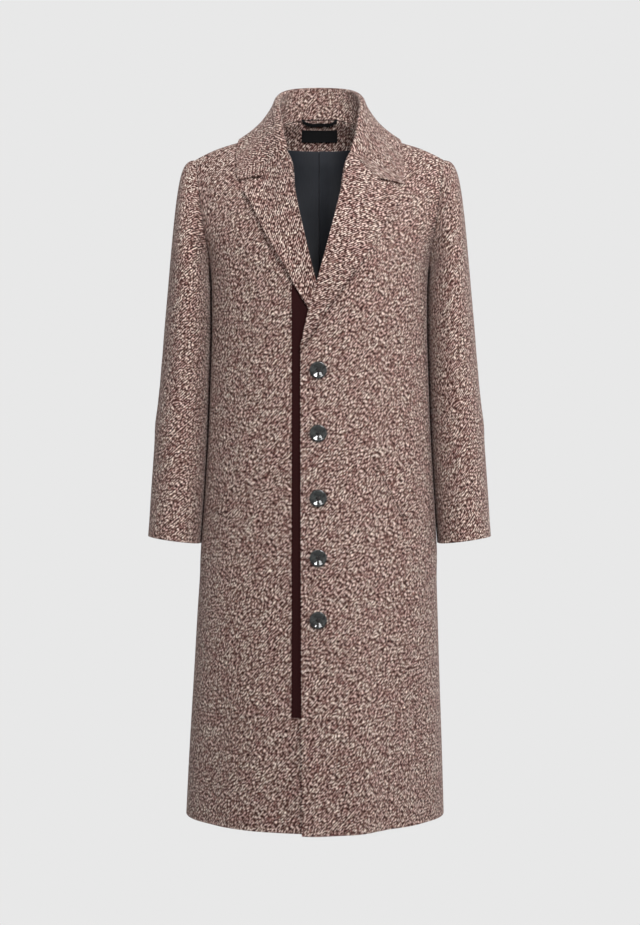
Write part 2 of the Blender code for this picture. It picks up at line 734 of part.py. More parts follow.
def stand_profiles(hand):
    """Neck side points of the collar's stand and the direction away from the neck."""
    mirror = 1.0 if hand == "left" else -1.0
    fall, outward = collar_profiles(hand)
    tops = fall[: len(COLLAR) - 1, 0]
    bottoms = []
    for k, row in enumerate(COLLAR[:-1]):
        side = "back" if k <= SHOULDER_ROW else "front"
        bottoms.append(lying_point(mirror * row[5], row[6], side, -CLOTH))
    bottoms = np.array(bottoms)
    tangents = np.gradient(bottoms, axis=0) * mirror
    tangents[0] = (1.0, 0.0, 0.0)
    rise = tops - bottoms
    away = np.cross(rise, tangents)
    away /= np.linalg.norm(away, axis=1)[:, None]
    grid, aways = [], []
    for k in range(len(tops)):
        lean = rise[k] / np.linalg.norm(rise[k])
        low, high = bottoms[k] + lean * STAND_LIFT, tops[k] - lean * 2 * SEAM
        grid.append([low + (high - low) * j / (STAND_POINTS - 1) for j in range(STAND_POINTS)])
        aways.append([away[k]] * STAND_POINTS)
    return np.array(grid), np.array(aways)


def make_collar_stand():
    left, left_away = stand_profiles("left")
    right, right_away = stand_profiles("right")
    grid = both_sides(left, right)
    away = both_sides(left_away, right_away)
    return add_wall("collar_stand", grid[::-1], (grid + away * STAND_CLOTH)[::-1])


def back_patch(half_width, top, bottom, columns, rows, depth, thickness):
    """A patch inside the back: its outer and inner points, depth in from the back's face."""
    outer = np.zeros((rows, columns, 3))
    inner = outer.copy()
    for i, x in enumerate(np.linspace(half_width, -half_width, columns)):
        high = top(abs(x))
        sunk = depth + FACING_SLACK * (x / FACING_HALF) ** 2
        for j, height in enumerate(np.linspace(bottom, high, rows)):
            outer[j, i] = lying_point(x, height, "back", -sunk)
            inner[j, i] = lying_point(x, height, "back", -sunk - thickness)
    return outer, inner


def neck_seam(x):
    return track(BACK_NECK, BACK_NECK_COLUMNS, "x", "height", x) - 2 * SEAM


def make_facing():
    outer, inner = back_patch(FACING_HALF, neck_seam, FACING_END, 13, 4, CLOTH + LAY_GAP, FACING_CLOTH)
    return add_wall("back_facing", outer, inner)


LABEL_HALF = 0.0333
LABEL_TOP = -0.0133
LABEL_BOTTOM = -0.0333
LABEL_DEPTH = CLOTH + LAY_GAP + FACING_CLOTH + 0.0010
LABEL_CLOTH = 0.0008


def make_label():
    outer, inner = back_patch(LABEL_HALF, lambda x: LABEL_TOP, LABEL_BOTTOM, 6, 3, LABEL_DEPTH, LABEL_CLOTH)
    return add_wall("label", outer, inner, BLACK, 0.7)


LOOP_PATH = ((0.0315, 0.0022), (0.0290, -0.0010), (0.0235, -0.0036), (0.0, -0.0042),
             (-0.0235, -0.0036), (-0.0290, -0.0010), (-0.0315, 0.0022))
LOOP_WIDTH = 0.0052
LOOP_CLOTH = 0.0016
LOOP_SAG = 0.003
LOOP_DEPTH = LABEL_DEPTH - 0.0017


def make_hanger_loop():
    """A flat loop of tape below the collar stand, its ends at the neck seam."""
    path = np.array(LOOP_PATH)
    outer, inner = [], []
    for k, (x, height) in enumerate(path):
        along = path[min(k + 1, len(path) - 1)] - path[max(k - 1, 0)]
        across = np.array((-along[1], along[0])) / np.linalg.norm(along)
        stand_off = LOOP_DEPTH + LOOP_SAG * (1 - (2 * k / (len(path) - 1) - 1) ** 2)
        row = []
        for side in (-0.5, 0.5):
            px, pz = np.array((x, height)) + across * side * LOOP_WIDTH
            point = lying_point(px, min(pz, 0.0), "back", -stand_off)
            row.append(point + np.array((0.0, 0.0, max(pz, 0.0))))
        outer.append(row)
        inner.append([point - np.array((0.0, LOOP_CLOTH, 0.0)) for point in row])
    return add_wall("hanger_loop", np.array(outer), np.array(inner), BLACK, 0.7)


LINING_HEM = HEM + 0.025
LINING_COLUMNS = 7
LINING_SLACK = 0.004


def make_lining():
    """One lining for the whole back, from the facing down to just above the hem."""
    halves = []
    for hand in ("left", "right"):
        mirror = 1.0 if hand == "left" else -1.0
        places = back_places(LINING_COLUMNS, SKIRT_ROWS, CHEST_ROWS)
        places[:, :, 1] = np.maximum(places[:, :, 1], HEM)
        low = places[:, :, 1] < UNDERARM - 1e-6
        stretch = (UNDERARM - LINING_HEM) / (UNDERARM - HEM)
        places[:, :, 1] = np.where(low, UNDERARM + (places[:, :, 1] - UNDERARM) * stretch, places[:, :, 1])
        top = len(places) - 1
        for j, i in np.ndindex(places.shape[:2]):
            share = max(j - SKIRT_ROWS + 1, 0) / (top - SKIRT_ROWS + 1)
            x = body_point(places[top, i, 0], places[top, i, 1], "back")[0]
            ridge = track(RIDGE, RIDGE_COLUMNS, "x", "height", x)
            end = min(FACING_END - 2 * SEAM, ridge - 0.008)
            places[j, i, 1] -= (places[top, i, 1] - end) * share if j < top else 0.0
        for i in range(places.shape[1]):
            x = body_point(places[top, i, 0], places[top, i, 1], "back")[0]
            ridge = track(RIDGE, RIDGE_COLUMNS, "x", "height", x)
            places[top, i] = (places[top, i, 0], min(FACING_END - 2 * SEAM, ridge - 0.008))
        grid = [[body_point(mirror * angle, height, "back") for angle, height in row] for row in places]
        grid = np.array(grid)
        normals = grid_normals(grid) * -mirror
        normals[:, 0, 0] = 0.0
        normals[:SKIRT_ROWS, -1, 1:] = 0.0
        normals /= np.linalg.norm(normals, axis=2)[:, :, None]
        halves.append((grid, normals))
    (left, left_out), (right, right_out) = halves
    grid = np.concatenate((left[:, :0:-1], right), axis=1)
    normals = np.concatenate((left_out[:, :0:-1], right_out), axis=1)
    slack = np.array([[LINING_SLACK * ease(-0.17, -0.06, point[2]) for point in row] for row in grid])
    outer = pull_in(grid - normals * (CLOTH + LAY_GAP + slack)[:, :, None], 0.003)
    return add_wall("back_lining", outer, outer - normals * LINING_CLOTH, SATIN, 0.45)


STRIP_LEFT = -0.0445
STRIP_RIGHT = -0.0190
STRIP_TOPS = (-0.3035, -0.3450)
STRIP_ROWS = 14
STRIP_CLOTH = 0.001


def make_strip():
    """The flat dark strip sewn down the lower front beside the overlap."""
    outer, inner = [], []
    for j in range(STRIP_ROWS):
        row_out, row_in = [], []
        for i in range(3):
            x = STRIP_LEFT + (STRIP_RIGHT - STRIP_LEFT) * i / 2
            top = STRIP_TOPS[0] + (STRIP_TOPS[1] - STRIP_TOPS[0]) * i / 2
            height = STRIP_END + (top - STRIP_END) * j / (STRIP_ROWS - 1)
            row_in.append(on_front("right", x, height, 0.0008))
            row_out.append(on_front("right", x, height, 0.0008 + STRIP_CLOTH))
        outer.append(row_out)
        inner.append(row_in)
    return add_wall("front_strip", np.array(outer), np.array(inner), BURGUNDY, 0.8)


def make_welt(hand):
    """A slanted pocket welt, sewn flat on the front."""
    mirror = 1.0 if hand == "left" else -1.0
    top, bottom = np.array(WELT_TOP), np.array(WELT_BOTTOM)
    along = (top - bottom) / np.linalg.norm(top - bottom)
    across = np.array((along[1], -along[0]))
    rows, columns = 8, 4
    outer, inner = np.zeros((rows, columns, 3)), np.zeros((rows, columns, 3))
    for j, i in np.ndindex(rows, columns):
        place = bottom + (top - bottom) * j / (rows - 1) + across * WELT_WIDTH * (i / (columns - 1) - 0.5)
        inner[j, i] = on_front(hand, mirror * place[0], place[1], 0.0008)
        outer[j, i] = on_front(hand, mirror * place[0], place[1], 0.0008 + WELT_CLOTH)
    return add_wall("welt_" + hand, face_out(hand, outer), face_out(hand, inner))


# Outline of a button, from the middle of its face over the rim to its back: radius and height
BUTTON_OUTLINE = ((0.0, 0.0028), (0.0075, 0.0029), (0.0100, 0.0036), (0.0122, 0.0046), (0.0136, 0.0040),
                  (0.0140, 0.0024), (0.0128, 0.0008), (0.0090, 0.0), (0.0, 0.0))
BUTTON_SIDES = 20
HOLE_RADIUS = 0.0011
HOLE_PLACE = 0.0024


def turned_mesh(name, outline, sides):
    """A closed turned mesh about Z from an outline of radius and height, top to bottom."""
    points = [(0.0, 0.0, outline[0][1])]
    rings = []
    for radius, height in outline[1:-1]:
        rings.append(len(points))
        for k in range(sides):
            turn = 2 * math.pi * k / sides
            points.append((radius * math.cos(turn), radius * math.sin(turn), height))
    points.append((0.0, 0.0, outline[-1][1]))
    last = len(points) - 1
    faces = []
    for k in range(sides):
        after = (k + 1) % sides
        faces.append((0, rings[0] + k, rings[0] + after))
        for upper, lower in zip(rings, rings[1:]):
            faces.append((upper + k, lower + k, lower + after, upper + after))
        faces.append((last, rings[-1] + after, rings[-1] + k))
    mesh = bpy.data.meshes.new(name)
    mesh.from_pydata(points, [], faces)
    return mesh


def button_mesh():
    """One button with four sewing holes cut through it, shared by all five."""
    blank = bpy.data.objects.new("button_blank", turned_mesh("button", BUTTON_OUTLINE, BUTTON_SIDES))
    bpy.context.scene.collection.objects.link(blank)
    drills = []
    for k in range(4):
        turn = math.pi / 4 + math.pi / 2 * k
        place = (HOLE_PLACE * math.cos(turn), HOLE_PLACE * math.sin(turn), 0.002)
        bpy.ops.mesh.primitive_cylinder_add(vertices=8, radius=HOLE_RADIUS, depth=0.01, location=place)
        drill = bpy.context.object
        drills.append(drill)
        cut = blank.modifiers.new("hole", "BOOLEAN")
        cut.operation = "DIFFERENCE"
        cut.object = drill
    graph = bpy.context.evaluated_depsgraph_get()
    mesh = bpy.data.meshes.new_from_object(blank.evaluated_get(graph))
    for item in drills + [blank]:
        bpy.data.objects.remove(item, do_unlink=True)
    mesh.shade_smooth()
    mesh.set_sharp_from_angle(angle=math.radians(40))
    mesh.materials.clear()
    mesh.materials.append(paint("button", HORN, 0.15))
    return mesh


def make_buttons():
    mesh = button_mesh()
    for number, (height, lift) in enumerate(BUTTONS, start=1):
        button = bpy.data.objects.new("button_%d" % number, mesh)
        across = on_front("left", BUTTON_X + 0.01, height, 0.0) - on_front("left", BUTTON_X - 0.01, height, 0.0)
        up = on_front("left", BUTTON_X, height + 0.01, 0.0) - on_front("left", BUTTON_X, height - 0.01, 0.0)
        normal = Vector(np.cross(across, up)).normalized()
        button.location = Vector(on_front("left", BUTTON_X, height, 0.0)) + normal * lift
        button.rotation_euler = normal.to_track_quat("Z", "Y").to_euler()
        bpy.context.scene.collection.objects.link(button)


def clear_scene():
    for item in list(bpy.data.objects):
        bpy.data.objects.remove(item, do_unlink=True)


def main():
    clear_scene()
    for hand in ("left", "right"):
        make_front(hand)
        make_back(hand)
        make_sleeve(hand, "top", FRONT_SEAM_TURN, BACK_SEAM_TURN, 13)
        make_sleeve(hand, "under", BACK_SEAM_TURN, FRONT_SEAM_TURN + 2 * math.pi, 7)
        make_lapel(hand)
        make_welt(hand)
    make_collar_fall()
    make_collar_stand()
    make_facing()
    make_label()
    make_hanger_loop()
    make_lining()
    make_strip()
    make_buttons()


main()
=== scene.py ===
"""A long twill overcoat, cut, sewn and finished piece by piece around its solid frame.

Metres, +Z up. The front faces -Y and +X is the wearer's left.
"""
import bisect
import math

import bpy
import numpy as np
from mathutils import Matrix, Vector


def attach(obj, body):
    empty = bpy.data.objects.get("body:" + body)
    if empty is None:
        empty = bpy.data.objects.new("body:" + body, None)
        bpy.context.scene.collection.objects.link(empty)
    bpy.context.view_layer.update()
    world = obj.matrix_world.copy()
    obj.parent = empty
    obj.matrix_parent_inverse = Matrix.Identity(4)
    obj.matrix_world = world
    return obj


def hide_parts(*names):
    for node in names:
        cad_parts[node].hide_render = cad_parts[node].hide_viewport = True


bl_info = {
    "name": "Long Twill Overcoat",
    "version": (1, 0, 0),
    "blender": (4, 5, 0),
    "location": "View3D > Sidebar > Overcoat",
    "description": "Cuts and finishes a long single-breasted overcoat around its solid frame",
    "category": "Object",
}

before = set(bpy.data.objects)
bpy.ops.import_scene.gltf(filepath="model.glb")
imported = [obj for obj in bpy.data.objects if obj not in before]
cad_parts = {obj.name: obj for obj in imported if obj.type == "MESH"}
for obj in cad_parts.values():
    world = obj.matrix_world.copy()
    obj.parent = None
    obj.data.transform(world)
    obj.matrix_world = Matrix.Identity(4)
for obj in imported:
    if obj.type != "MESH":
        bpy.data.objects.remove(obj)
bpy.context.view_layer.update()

# Cloth and gaps
CLOTH = 0.0025
FOLDED_CLOTH = 0.0038
LINING_CLOTH = 0.001
SEAM = 0.00005
LAY_GAP = 0.0013
ROLL_LIFT = 0.003
HIDDEN_THINNING = 0.0022

# Lengths that set the cut
HEM = -1.182
NAPE = 0.0
UNDERARM = -0.265
NECK_POINT_X = 0.088
SHOULDER_TIP_X = 0.209
LAPEL_BREAK = -0.412
STRIP_END = -1.0005
FRONT_SHOULDER_DEPTH = 0.27
FRONT_SHOULDER_ROUND = 1.55
BACK_SHOULDER_DEPTH = 0.15
BACK_SHOULDER_ROUND = 2.0
SEAM_FORWARD = 0.012
SEAM_BACK_X = 0.17

# Waves of the skirt: depth, waves for each radian and their phase
FLUTE_TOP = -0.55
FLUTES = {"front": (0.0035, 5.2, 0.6), "back": (0.0045, 5.0, 0.0)}

# How much lower the two fronts hang in the middle, and over which angle
HEM_DIP = {"left": (0.0045, 0.6), "right": (0.0015, 1.0)}

# Overlap of the fronts: how far the upper front is lifted, and where that ends
OVERLAP_TOP = (-0.18, -0.27)
OVERLAP_LIFT = 0.0068
OVERLAP_FULL_X = 0.045
OVERLAP_END_X = 0.120

# Buttons: height and lift
BUTTON_X = -0.002
BUTTONS = (
    (-0.4445, 0.00025),
    (-0.5465, 0.00020),
    (-0.6507, 0.00000),
    (-0.7466, -0.00010),
    (-0.8454, -0.00015),
)

# Sections of the body
BODY_COLUMNS = ("height", "half_width", "front", "back", "shift", "squareness")
BODY = (
    (-1.240, 0.2200, 0.1690, 0.1500, -0.0078, 2.05),
    (-1.096, 0.2140, 0.1630, 0.1450, -0.0066, 2.05),
    (-0.927, 0.2060, 0.1530, 0.1340, -0.0045, 2.10),
    (-0.825, 0.2015, 0.1465, 0.1260, -0.0030, 2.15),
    (-0.732, 0.1965, 0.1410, 0.1200, -0.0010, 2.20),
    (-0.610, 0.1885, 0.1350, 0.1130, 0.0, 2.25),
    (-0.470, 0.1820, 0.1310, 0.1080, 0.0, 2.30),
    (-0.350, 0.1785, 0.1330, 0.1160, 0.0, 2.35),
    (-0.290, 0.1790, 0.1350, 0.1220, 0.0, 2.35),
    (-0.245, 0.1880, 0.1350, 0.1240, 0.0, 2.35),
    (-0.200, 0.2040, 0.1330, 0.1230, 0.0, 2.30),
    (-0.140, 0.2180, 0.1260, 0.1160, 0.0, 2.25),
    (-0.085, 0.2260, 0.1180, 0.1100, 0.0, 2.20),
    (0.050, 0.2300, 0.1080, 0.1060, 0.0, 2.20),
)

# Ridge of the shoulder, from the middle of the neck outwards
RIDGE_COLUMNS = ("x", "height")
RIDGE = (
    (0.000, 0.0380), (0.030, 0.0290), (0.055, 0.0080), (0.073, -0.0150), (0.088, -0.0335),
    (0.105, -0.0415), (0.130, -0.0495), (0.153, -0.0570), (0.173, -0.0640), (0.190, -0.0715),
    (0.209, -0.0815), (0.240, -0.0985),
)

# Neck seam across the back
BACK_NECK_COLUMNS = ("x", "height")
BACK_NECK = ((0.0, 0.0), (0.030, -0.0020), (0.055, -0.0110), (0.073, -0.0215), (0.088, -0.0335))

# Armholes, from the shoulder tip down to the underarm; x beside height
ARMHOLE_COLUMNS = ("height", "front_x", "back_x")
ARMHOLE = (
    (-0.0815, 0.2090, 0.2090),
    (-0.1100, 0.2055, 0.2065),
    (-0.1450, 0.2010, 0.2030),
    (-0.1850, 0.1955, 0.1980),
    (-0.2200, 0.1895, 0.1915),
    (-0.2480, 0.1848, 0.1855),
)

# Inner edges of the two fronts: down the front, up the roll line and round to the neck point
EDGE_COLUMNS = ("height", "left_x", "right_x")
EDGE = (
    (-1.2400, -0.0270, 0.0300),
    (-0.4120, -0.0305, 0.0290),
    (-0.3900, -0.0265, 0.0225),
    (-0.3380, -0.0150, 0.0065),
    (-0.3000, -0.0040, -0.0052),
    (-0.2216, 0.0170, -0.0245),
    (-0.1540, 0.0330, -0.0390),
    (-0.0850, 0.0480, -0.0500),
    (-0.0620, 0.0620, -0.0630),
    (-0.0450, 0.0770, -0.0770),
    (-0.0335, 0.0880, -0.0880),
)

# Free edges of the lapels, from the break up to the tip
LAPEL_EDGE_COLUMNS = ("height", "left_x", "right_x")
LAPEL_EDGE = (
    (-0.4120, -0.0280, 0.0270),
    (-0.3940, -0.0170, 0.0140),
    (-0.3570, 0.0056, -0.0090),
    (-0.3115, 0.0360, -0.0370),
    (-0.2825, 0.0570, -0.0520),
    (-0.2480, 0.0765, -0.0705),
    (-0.2090, 0.1005, -0.0915),
    (-0.1685, 0.1260, -0.1120),
    (-0.1490, 0.1290, -0.1240),
)
GORGE_TOP = {"left": (0.0480, -0.0850), "right": (-0.0500, -0.0850)}
NOTCH = {"left": (0.0940, -0.1255), "right": (-0.0900, -0.1215)}
LAPEL_TIP = {"left": (0.1290, -0.1490), "right": (-0.1240, -0.1460)}

# Collar, from the middle of the back forwards: x, y, z of its crown, x, z of its edge and of its seam
COLLAR = (
    (0.0000, 0.0880, 0.0600, 0.0000, -0.0240, 0.0000, 0.0000),
    (0.0255, 0.0840, 0.0585, 0.0400, -0.0290, 0.0300, -0.0020),
    (0.0478, 0.0690, 0.0530, 0.0770, -0.0470, 0.0550, -0.0110),
    (0.0592, 0.0470, 0.0440, 0.1060, -0.0620, 0.0740, -0.0222),
    (0.0638, 0.0340, 0.0375, 0.1245, -0.0600, 0.0825, -0.0288),
    (0.0665, 0.0200, 0.0290, 0.1330, -0.0510, 0.0880, -0.0335),
    (0.0675, 0.0070, 0.0195, 0.1370, -0.0580, 0.0840, -0.0385),
    (0.0670, -0.0060, 0.0090, 0.1385, -0.0760, 0.0785, -0.0440),
    (0.0640, -0.0310, -0.0150, 0.1390, -0.0920, 0.0680, -0.0550),
    (0.0595, -0.0530, -0.0425, 0.1385, -0.1040, 0.0580, -0.0680),
    (0.0540, -0.0720, -0.0680, 0.1380, -0.1130, 0.0505, -0.0800),
)
SHOULDER_ROW = 5
FOLD_RADIUS = 0.0047
FALL_HOLLOW = 0.008
FOLD_POINTS = 5
FALL_POINTS = 7
FLAT_START = 0.012
GORGE_ROWS = 4
COLLAR_CORNER = {"left": (0.1360, -0.1345), "right": (-0.1335, -0.1275)}
CORNER_MIDDLE = (0.1345, -0.1310)
STAND_CLOTH = 0.003
STEEPEST = 3.0
STAND_LIFT = 0.003
STAND_POINTS = 4
FACING_HALF = 0.072
FACING_SLACK = 0.0015
RIDGE_CLEARANCE = 0.002
FACING_CLOTH = 0.002

# Sleeves: ovals below the armhole
SLEEVE_COLUMNS = ("height", "inner_x", "outer_x", "middle_y", "half_depth")
SLEEVE = (
    (-0.300, 0.1815, 0.2555, 0.002, 0.0790),
    (-0.350, 0.1812, 0.2600, 0.002, 0.0790),
    (-0.430, 0.1828, 0.2668, 0.001, 0.0750),
    (-0.510, 0.1862, 0.2740, -0.004, 0.0700),
    (-0.600, 0.1905, 0.2800, -0.012, 0.0640),
    (-0.722, 0.1995, 0.2868, -0.024, 0.0580),
)
CUFF_RISE = 0.14
CUFF_RISE_START = -0.60
SLEEVE_TOP = -0.300
CAP_HANDLE = 0.029

# Slanted pocket welts, given by the middle of the mouth's upper and lower end
WELT_TOP = (0.0950, -0.5660)
WELT_BOTTOM = (0.1540, -0.6800)
WELT_WIDTH = 0.034
WELT_CLOTH = 0.0016

# Soft folds of the body: side, x and z of the line's top and of its low end, width and depth
FOLDS = (
    ("front", 0.002, -0.980, 0.030, -1.240, 0.022, -0.0035),
    ("front", 0.062, -0.900, 0.075, -1.240, 0.030, 0.0035),
    ("front", 0.118, -0.930, 0.062, -1.200, 0.024, 0.0030),
    ("both", 0.140, -0.880, 0.186, -1.240, 0.024, -0.0050),
    ("both", -0.150, -0.860, -0.190, -1.240, 0.024, -0.0050),
    ("front", -0.085, -0.900, -0.105, -1.240, 0.032, 0.0040),
    ("front", -0.040, -0.760, -0.052, -1.000, 0.026, -0.0016),
    ("front", 0.118, -0.300, 0.150, -0.560, 0.028, -0.0022),
    ("front", -0.118, -0.300, -0.150, -0.560, 0.028, -0.0022),
    ("front", 0.150, -0.190, 0.118, -0.330, 0.016, -0.0020),
    ("front", -0.150, -0.190, -0.118, -0.330, 0.016, -0.0020),
    ("back", 0.060, -0.800, 0.085, -1.240, 0.030, 0.0045),
    ("back", -0.060, -0.840, -0.080, -1.240, 0.030, 0.0045),
    ("back", 0.000, -0.700, 0.004, -1.240, 0.026, -0.0045),
    ("back", 0.120, -0.140, 0.095, -0.420, 0.024, -0.0025),
    ("back", -0.120, -0.140, -0.095, -0.420, 0.024, -0.0025),
    ("back", 0.040, -0.400, 0.030, -0.640, 0.030, -0.0020),
)

# Sleeve creases: hand, turn in degrees, height, rise for each radian, width, reach and depth
CREASES = (
    ("left", 12, -0.182, 0.030, 0.0080, 0.55, -0.0022),
    ("left", 8, -0.205, 0.034, 0.0075, 0.60, 0.0018),
    ("left", 4, -0.228, 0.040, 0.0085, 0.60, -0.0024),
    ("left", 0, -0.258, 0.046, 0.0100, 0.60, 0.0016),
    ("left", 10, -0.300, 0.050, 0.0130, 0.70, -0.0018),
    ("right", 10, -0.196, 0.030, 0.0090, 0.50, -0.0018),
    ("right", 4, -0.232, 0.040, 0.0095, 0.60, -0.0020),
    ("right", 2, -0.268, 0.044, 0.0110, 0.60, 0.0015),
    ("both", 35, -0.420, -0.050, 0.0180, 0.80, -0.0018),
    ("both", 20, -0.470, 0.060, 0.0160, 0.75, -0.0020),
    ("both", 60, -0.540, 0.030, 0.0200, 0.80, 0.0016),
    ("both", 150, -0.440, 0.040, 0.0180, 0.90, -0.0022),
    ("both", 170, -0.500, -0.050, 0.0180, 0.80, -0.0020),
    ("both", 20, -0.640, -0.040, 0.0220, 0.90, -0.0014),
)

# Shares and settings of the sewn pieces
NECK_SHARE = 0.4
FRONT_SEAM_TURN = math.radians(-38)
BACK_SEAM_TURN = math.radians(206)
LABEL_HALF = 0.0333
LABEL_TOP = -0.0133
LABEL_BOTTOM = -0.0333
LABEL_DEPTH = CLOTH + LAY_GAP + FACING_CLOTH + 0.0010
LABEL_CLOTH = 0.0008
LOOP_PATH = ((0.0315, 0.0022), (0.0290, -0.0010), (0.0235, -0.0036), (0.0, -0.0042),
             (-0.0235, -0.0036), (-0.0290, -0.0010), (-0.0315, 0.0022))
LOOP_WIDTH = 0.0052
LOOP_CLOTH = 0.0016
LOOP_SAG = 0.003
LOOP_DEPTH = LABEL_DEPTH - 0.0017
STRIP_LEFT = -0.0445
STRIP_RIGHT = -0.0190
STRIP_TOPS = (-0.3035, -0.3450)
STRIP_CLOTH = 0.001
PATCH_GAP = 0.0008
THREAD_LIFT = 0.0001
STITCH_RADIUS = 0.00022
PROBE = 0.002
SHORTEST = 1e-6

# Columns and rows of the grids
CLOTH_COLUMNS = 43
LINING_COLUMNS = 31
SKIRT_ROWS = 55
CHEST_ROWS = 60
FINER = 4
TURN_UP = 0.045
FACING_WIDTH = 0.095
CUFF_TURN_UP = 0.040

MIRROR = {"left": 1.0, "right": -1.0}
CURVES = {}


def tangents_of(slopes, steps):
    """Slopes at a curve's points, from the slopes and lengths of the steps between them."""
    middle = (slopes[:-1] * steps[1:] + slopes[1:] * steps[:-1]) / (steps[1:] + steps[:-1])
    return np.concatenate((slopes[:1], middle, slopes[-1:]))


def between(t, start, end, leave, arrive, step):
    """A smooth curve at a share t of one step, from the values and slopes at both ends."""
    rise = start * (2 * t**3 - 3 * t**2 + 1) + end * (3 * t**2 - 2 * t**3)
    lean = leave * (t**3 - 2 * t**2 + t) + arrive * (t**3 - t**2)
    return rise + lean * step


def curve(table, names, name):
    """Places, values and slopes of one column, smooth and never past its own points."""
    key = (id(table), name)
    if key not in CURVES:
        xs = np.array([row[0] for row in table])
        ys = np.array([row[names.index(name)] for row in table])
        if xs[0] > xs[-1]:
            xs, ys = xs[::-1], ys[::-1]
        steps = np.diff(xs)
        slopes = np.diff(ys) / steps
        tangents = tangents_of(slopes, steps)
        flat = slopes[:-1] * slopes[1:] <= 0
        steepest = STEEPEST * np.minimum(np.abs(slopes[:-1]), np.abs(slopes[1:]))
        tangents[1:-1] = np.where(flat, 0.0, np.clip(tangents[1:-1], -steepest, steepest))
        CURVES[key] = (xs.tolist(), ys.tolist(), tangents.tolist())
    return CURVES[key]


def track(table, names, name, value):
    """A smooth reading of one column at a value of the table's first column."""
    xs, ys, tangents = curve(table, names, name)
    value = min(max(value, xs[0]), xs[-1])
    cell = min(bisect.bisect_right(xs, value) - 1, len(xs) - 2)
    step = xs[cell + 1] - xs[cell]
    t = (value - xs[cell]) / step
    return between(t, ys[cell], ys[cell + 1], tangents[cell], tangents[cell + 1], step)


def ridge_height(x):
    """Height of the shoulders' ridge at x, on either side."""
    return track(RIDGE, RIDGE_COLUMNS, "height", abs(x))


def unit(vectors):
    """Vectors along the last axis, each brought to a length of one."""
    return vectors / np.linalg.norm(vectors, axis=-1, keepdims=True)


def ease(low, high, value):
    """Smooth step from 0 at low to 1 at high; low may be the larger."""
    t = min(max((value - low) / (high - low), 0.0), 1.0)
    return t * t * (3 - 2 * t)


def body_row(height):
    """Half width, front depth, back depth, shift and squareness of the body at a height."""
    return [track(BODY, BODY_COLUMNS, name, height) for name in BODY_COLUMNS[1:]]


def angle_of(x, height):
    """Angle round the body, from the middle of the front, of a point at x."""
    half, _, _, shift, power = body_row(height)
    ratio = min(max((x - shift) / half, -1.0), 1.0)
    return math.copysign(math.asin(abs(ratio) ** (power / 2)), ratio)


def flutes(angle, height, side):
    """Soft upright waves of the skirt, none at the waist and deepest at the hem."""
    depth, pitch, phase = FLUTES["front" if side == "front" else "back"]
    return ease(FLUTE_TOP, HEM, height) * depth * math.cos(pitch * angle - phase)


def body_point(angle, height, side):
    """A point of the outer cloth. Side is front or back, and angle 0 is its middle."""
    half, front, back, shift, power = body_row(height)
    fade = math.cos(angle) ** 2
    sine, cosine = math.sin(angle), max(math.cos(angle), 0.0)
    x = shift + half * math.copysign(abs(sine) ** (2 / power), sine)
    depth = front if side == "front" else back
    depth = (depth + flutes(angle, height, side) * fade) * cosine ** (2 / power)
    ridge = ridge_height(x)
    fall = FRONT_SHOULDER_DEPTH if side == "front" else BACK_SHOULDER_DEPTH
    round_by = FRONT_SHOULDER_ROUND if side == "front" else BACK_SHOULDER_ROUND
    drop = min(max((ridge - height) / fall, 0.0), 1.0)
    swell = (1 - (1 - drop) ** round_by) ** (1 / round_by)
    seam_y = SEAM_FORWARD * (1 - ease(NECK_POINT_X, SEAM_BACK_X, abs(x)))
    away = -1.0 if side == "front" else 1.0
    return np.array((x, seam_y * (1 - swell) + away * depth * swell, height))


def surface_normal(x, height, side):
    """Outward normal of the front or the back."""
    base = min(height, ridge_height(x) - 2 * PROBE)
    places = ((x + PROBE, base), (x - PROBE, base), (x, base + PROBE), (x, base - PROBE))
    right, left, high, low = (body_point(angle_of(px, pz), pz, side) for px, pz in places)
    across, up = right - left, high - low
    normal = np.cross(across, up) if side == "front" else np.cross(up, across)
    return normal / np.linalg.norm(normal)


def overlap_lift(x, height):
    """How far the upper front stands out where it lies over the lower one."""
    return OVERLAP_LIFT * ease(*OVERLAP_TOP, height) * ease(OVERLAP_END_X, OVERLAP_FULL_X, x)


def fold_swell(side, x, height):
    """How far the body's cloth stands out or sinks in its soft folds."""
    swell = 0.0
    for part, top_x, top_z, low_x, low_z, width, depth in FOLDS:
        if part not in (side, "both"):
            continue
        run_x, run_z = low_x - top_x, low_z - top_z
        length = math.hypot(run_x, run_z)
        share = ((x - top_x) * run_x + (height - top_z) * run_z) / length**2
        if not 0.0 < share < 1.2:
            continue
        off = ((x - top_x) * run_z - (height - top_z) * run_x) / length
        ends = ease(0.0, 0.45, share) * (ease(1.2, 0.9, share) if low_z > HEM else 1.0)
        swell += depth * math.exp(-(off / width) ** 2) * ends
    return swell


def crease_swell(hand, turn, height):
    """How far a sleeve's cloth stands out or sinks in its creases."""
    swell = 0.0
    for part, degrees, middle, lean, width, reach, depth in CREASES:
        if part not in (hand, "both"):
            continue
        off_turn = (turn - math.radians(degrees) + math.pi) % (2 * math.pi) - math.pi
        off = (height - middle - lean * off_turn) / width
        swell += depth * math.exp(-off * off) * math.exp(-((off_turn / reach) ** 2))
    return swell


def on_front(hand, x, height, out):
    """A point of one front, moved out along its normal."""
    lift = overlap_lift(x, height) if hand == "left" else 0.0
    lift += fold_swell("front", x, height)
    point = body_point(angle_of(x, height), height, "front")
    return point + surface_normal(x, height, "front") * (lift + out)


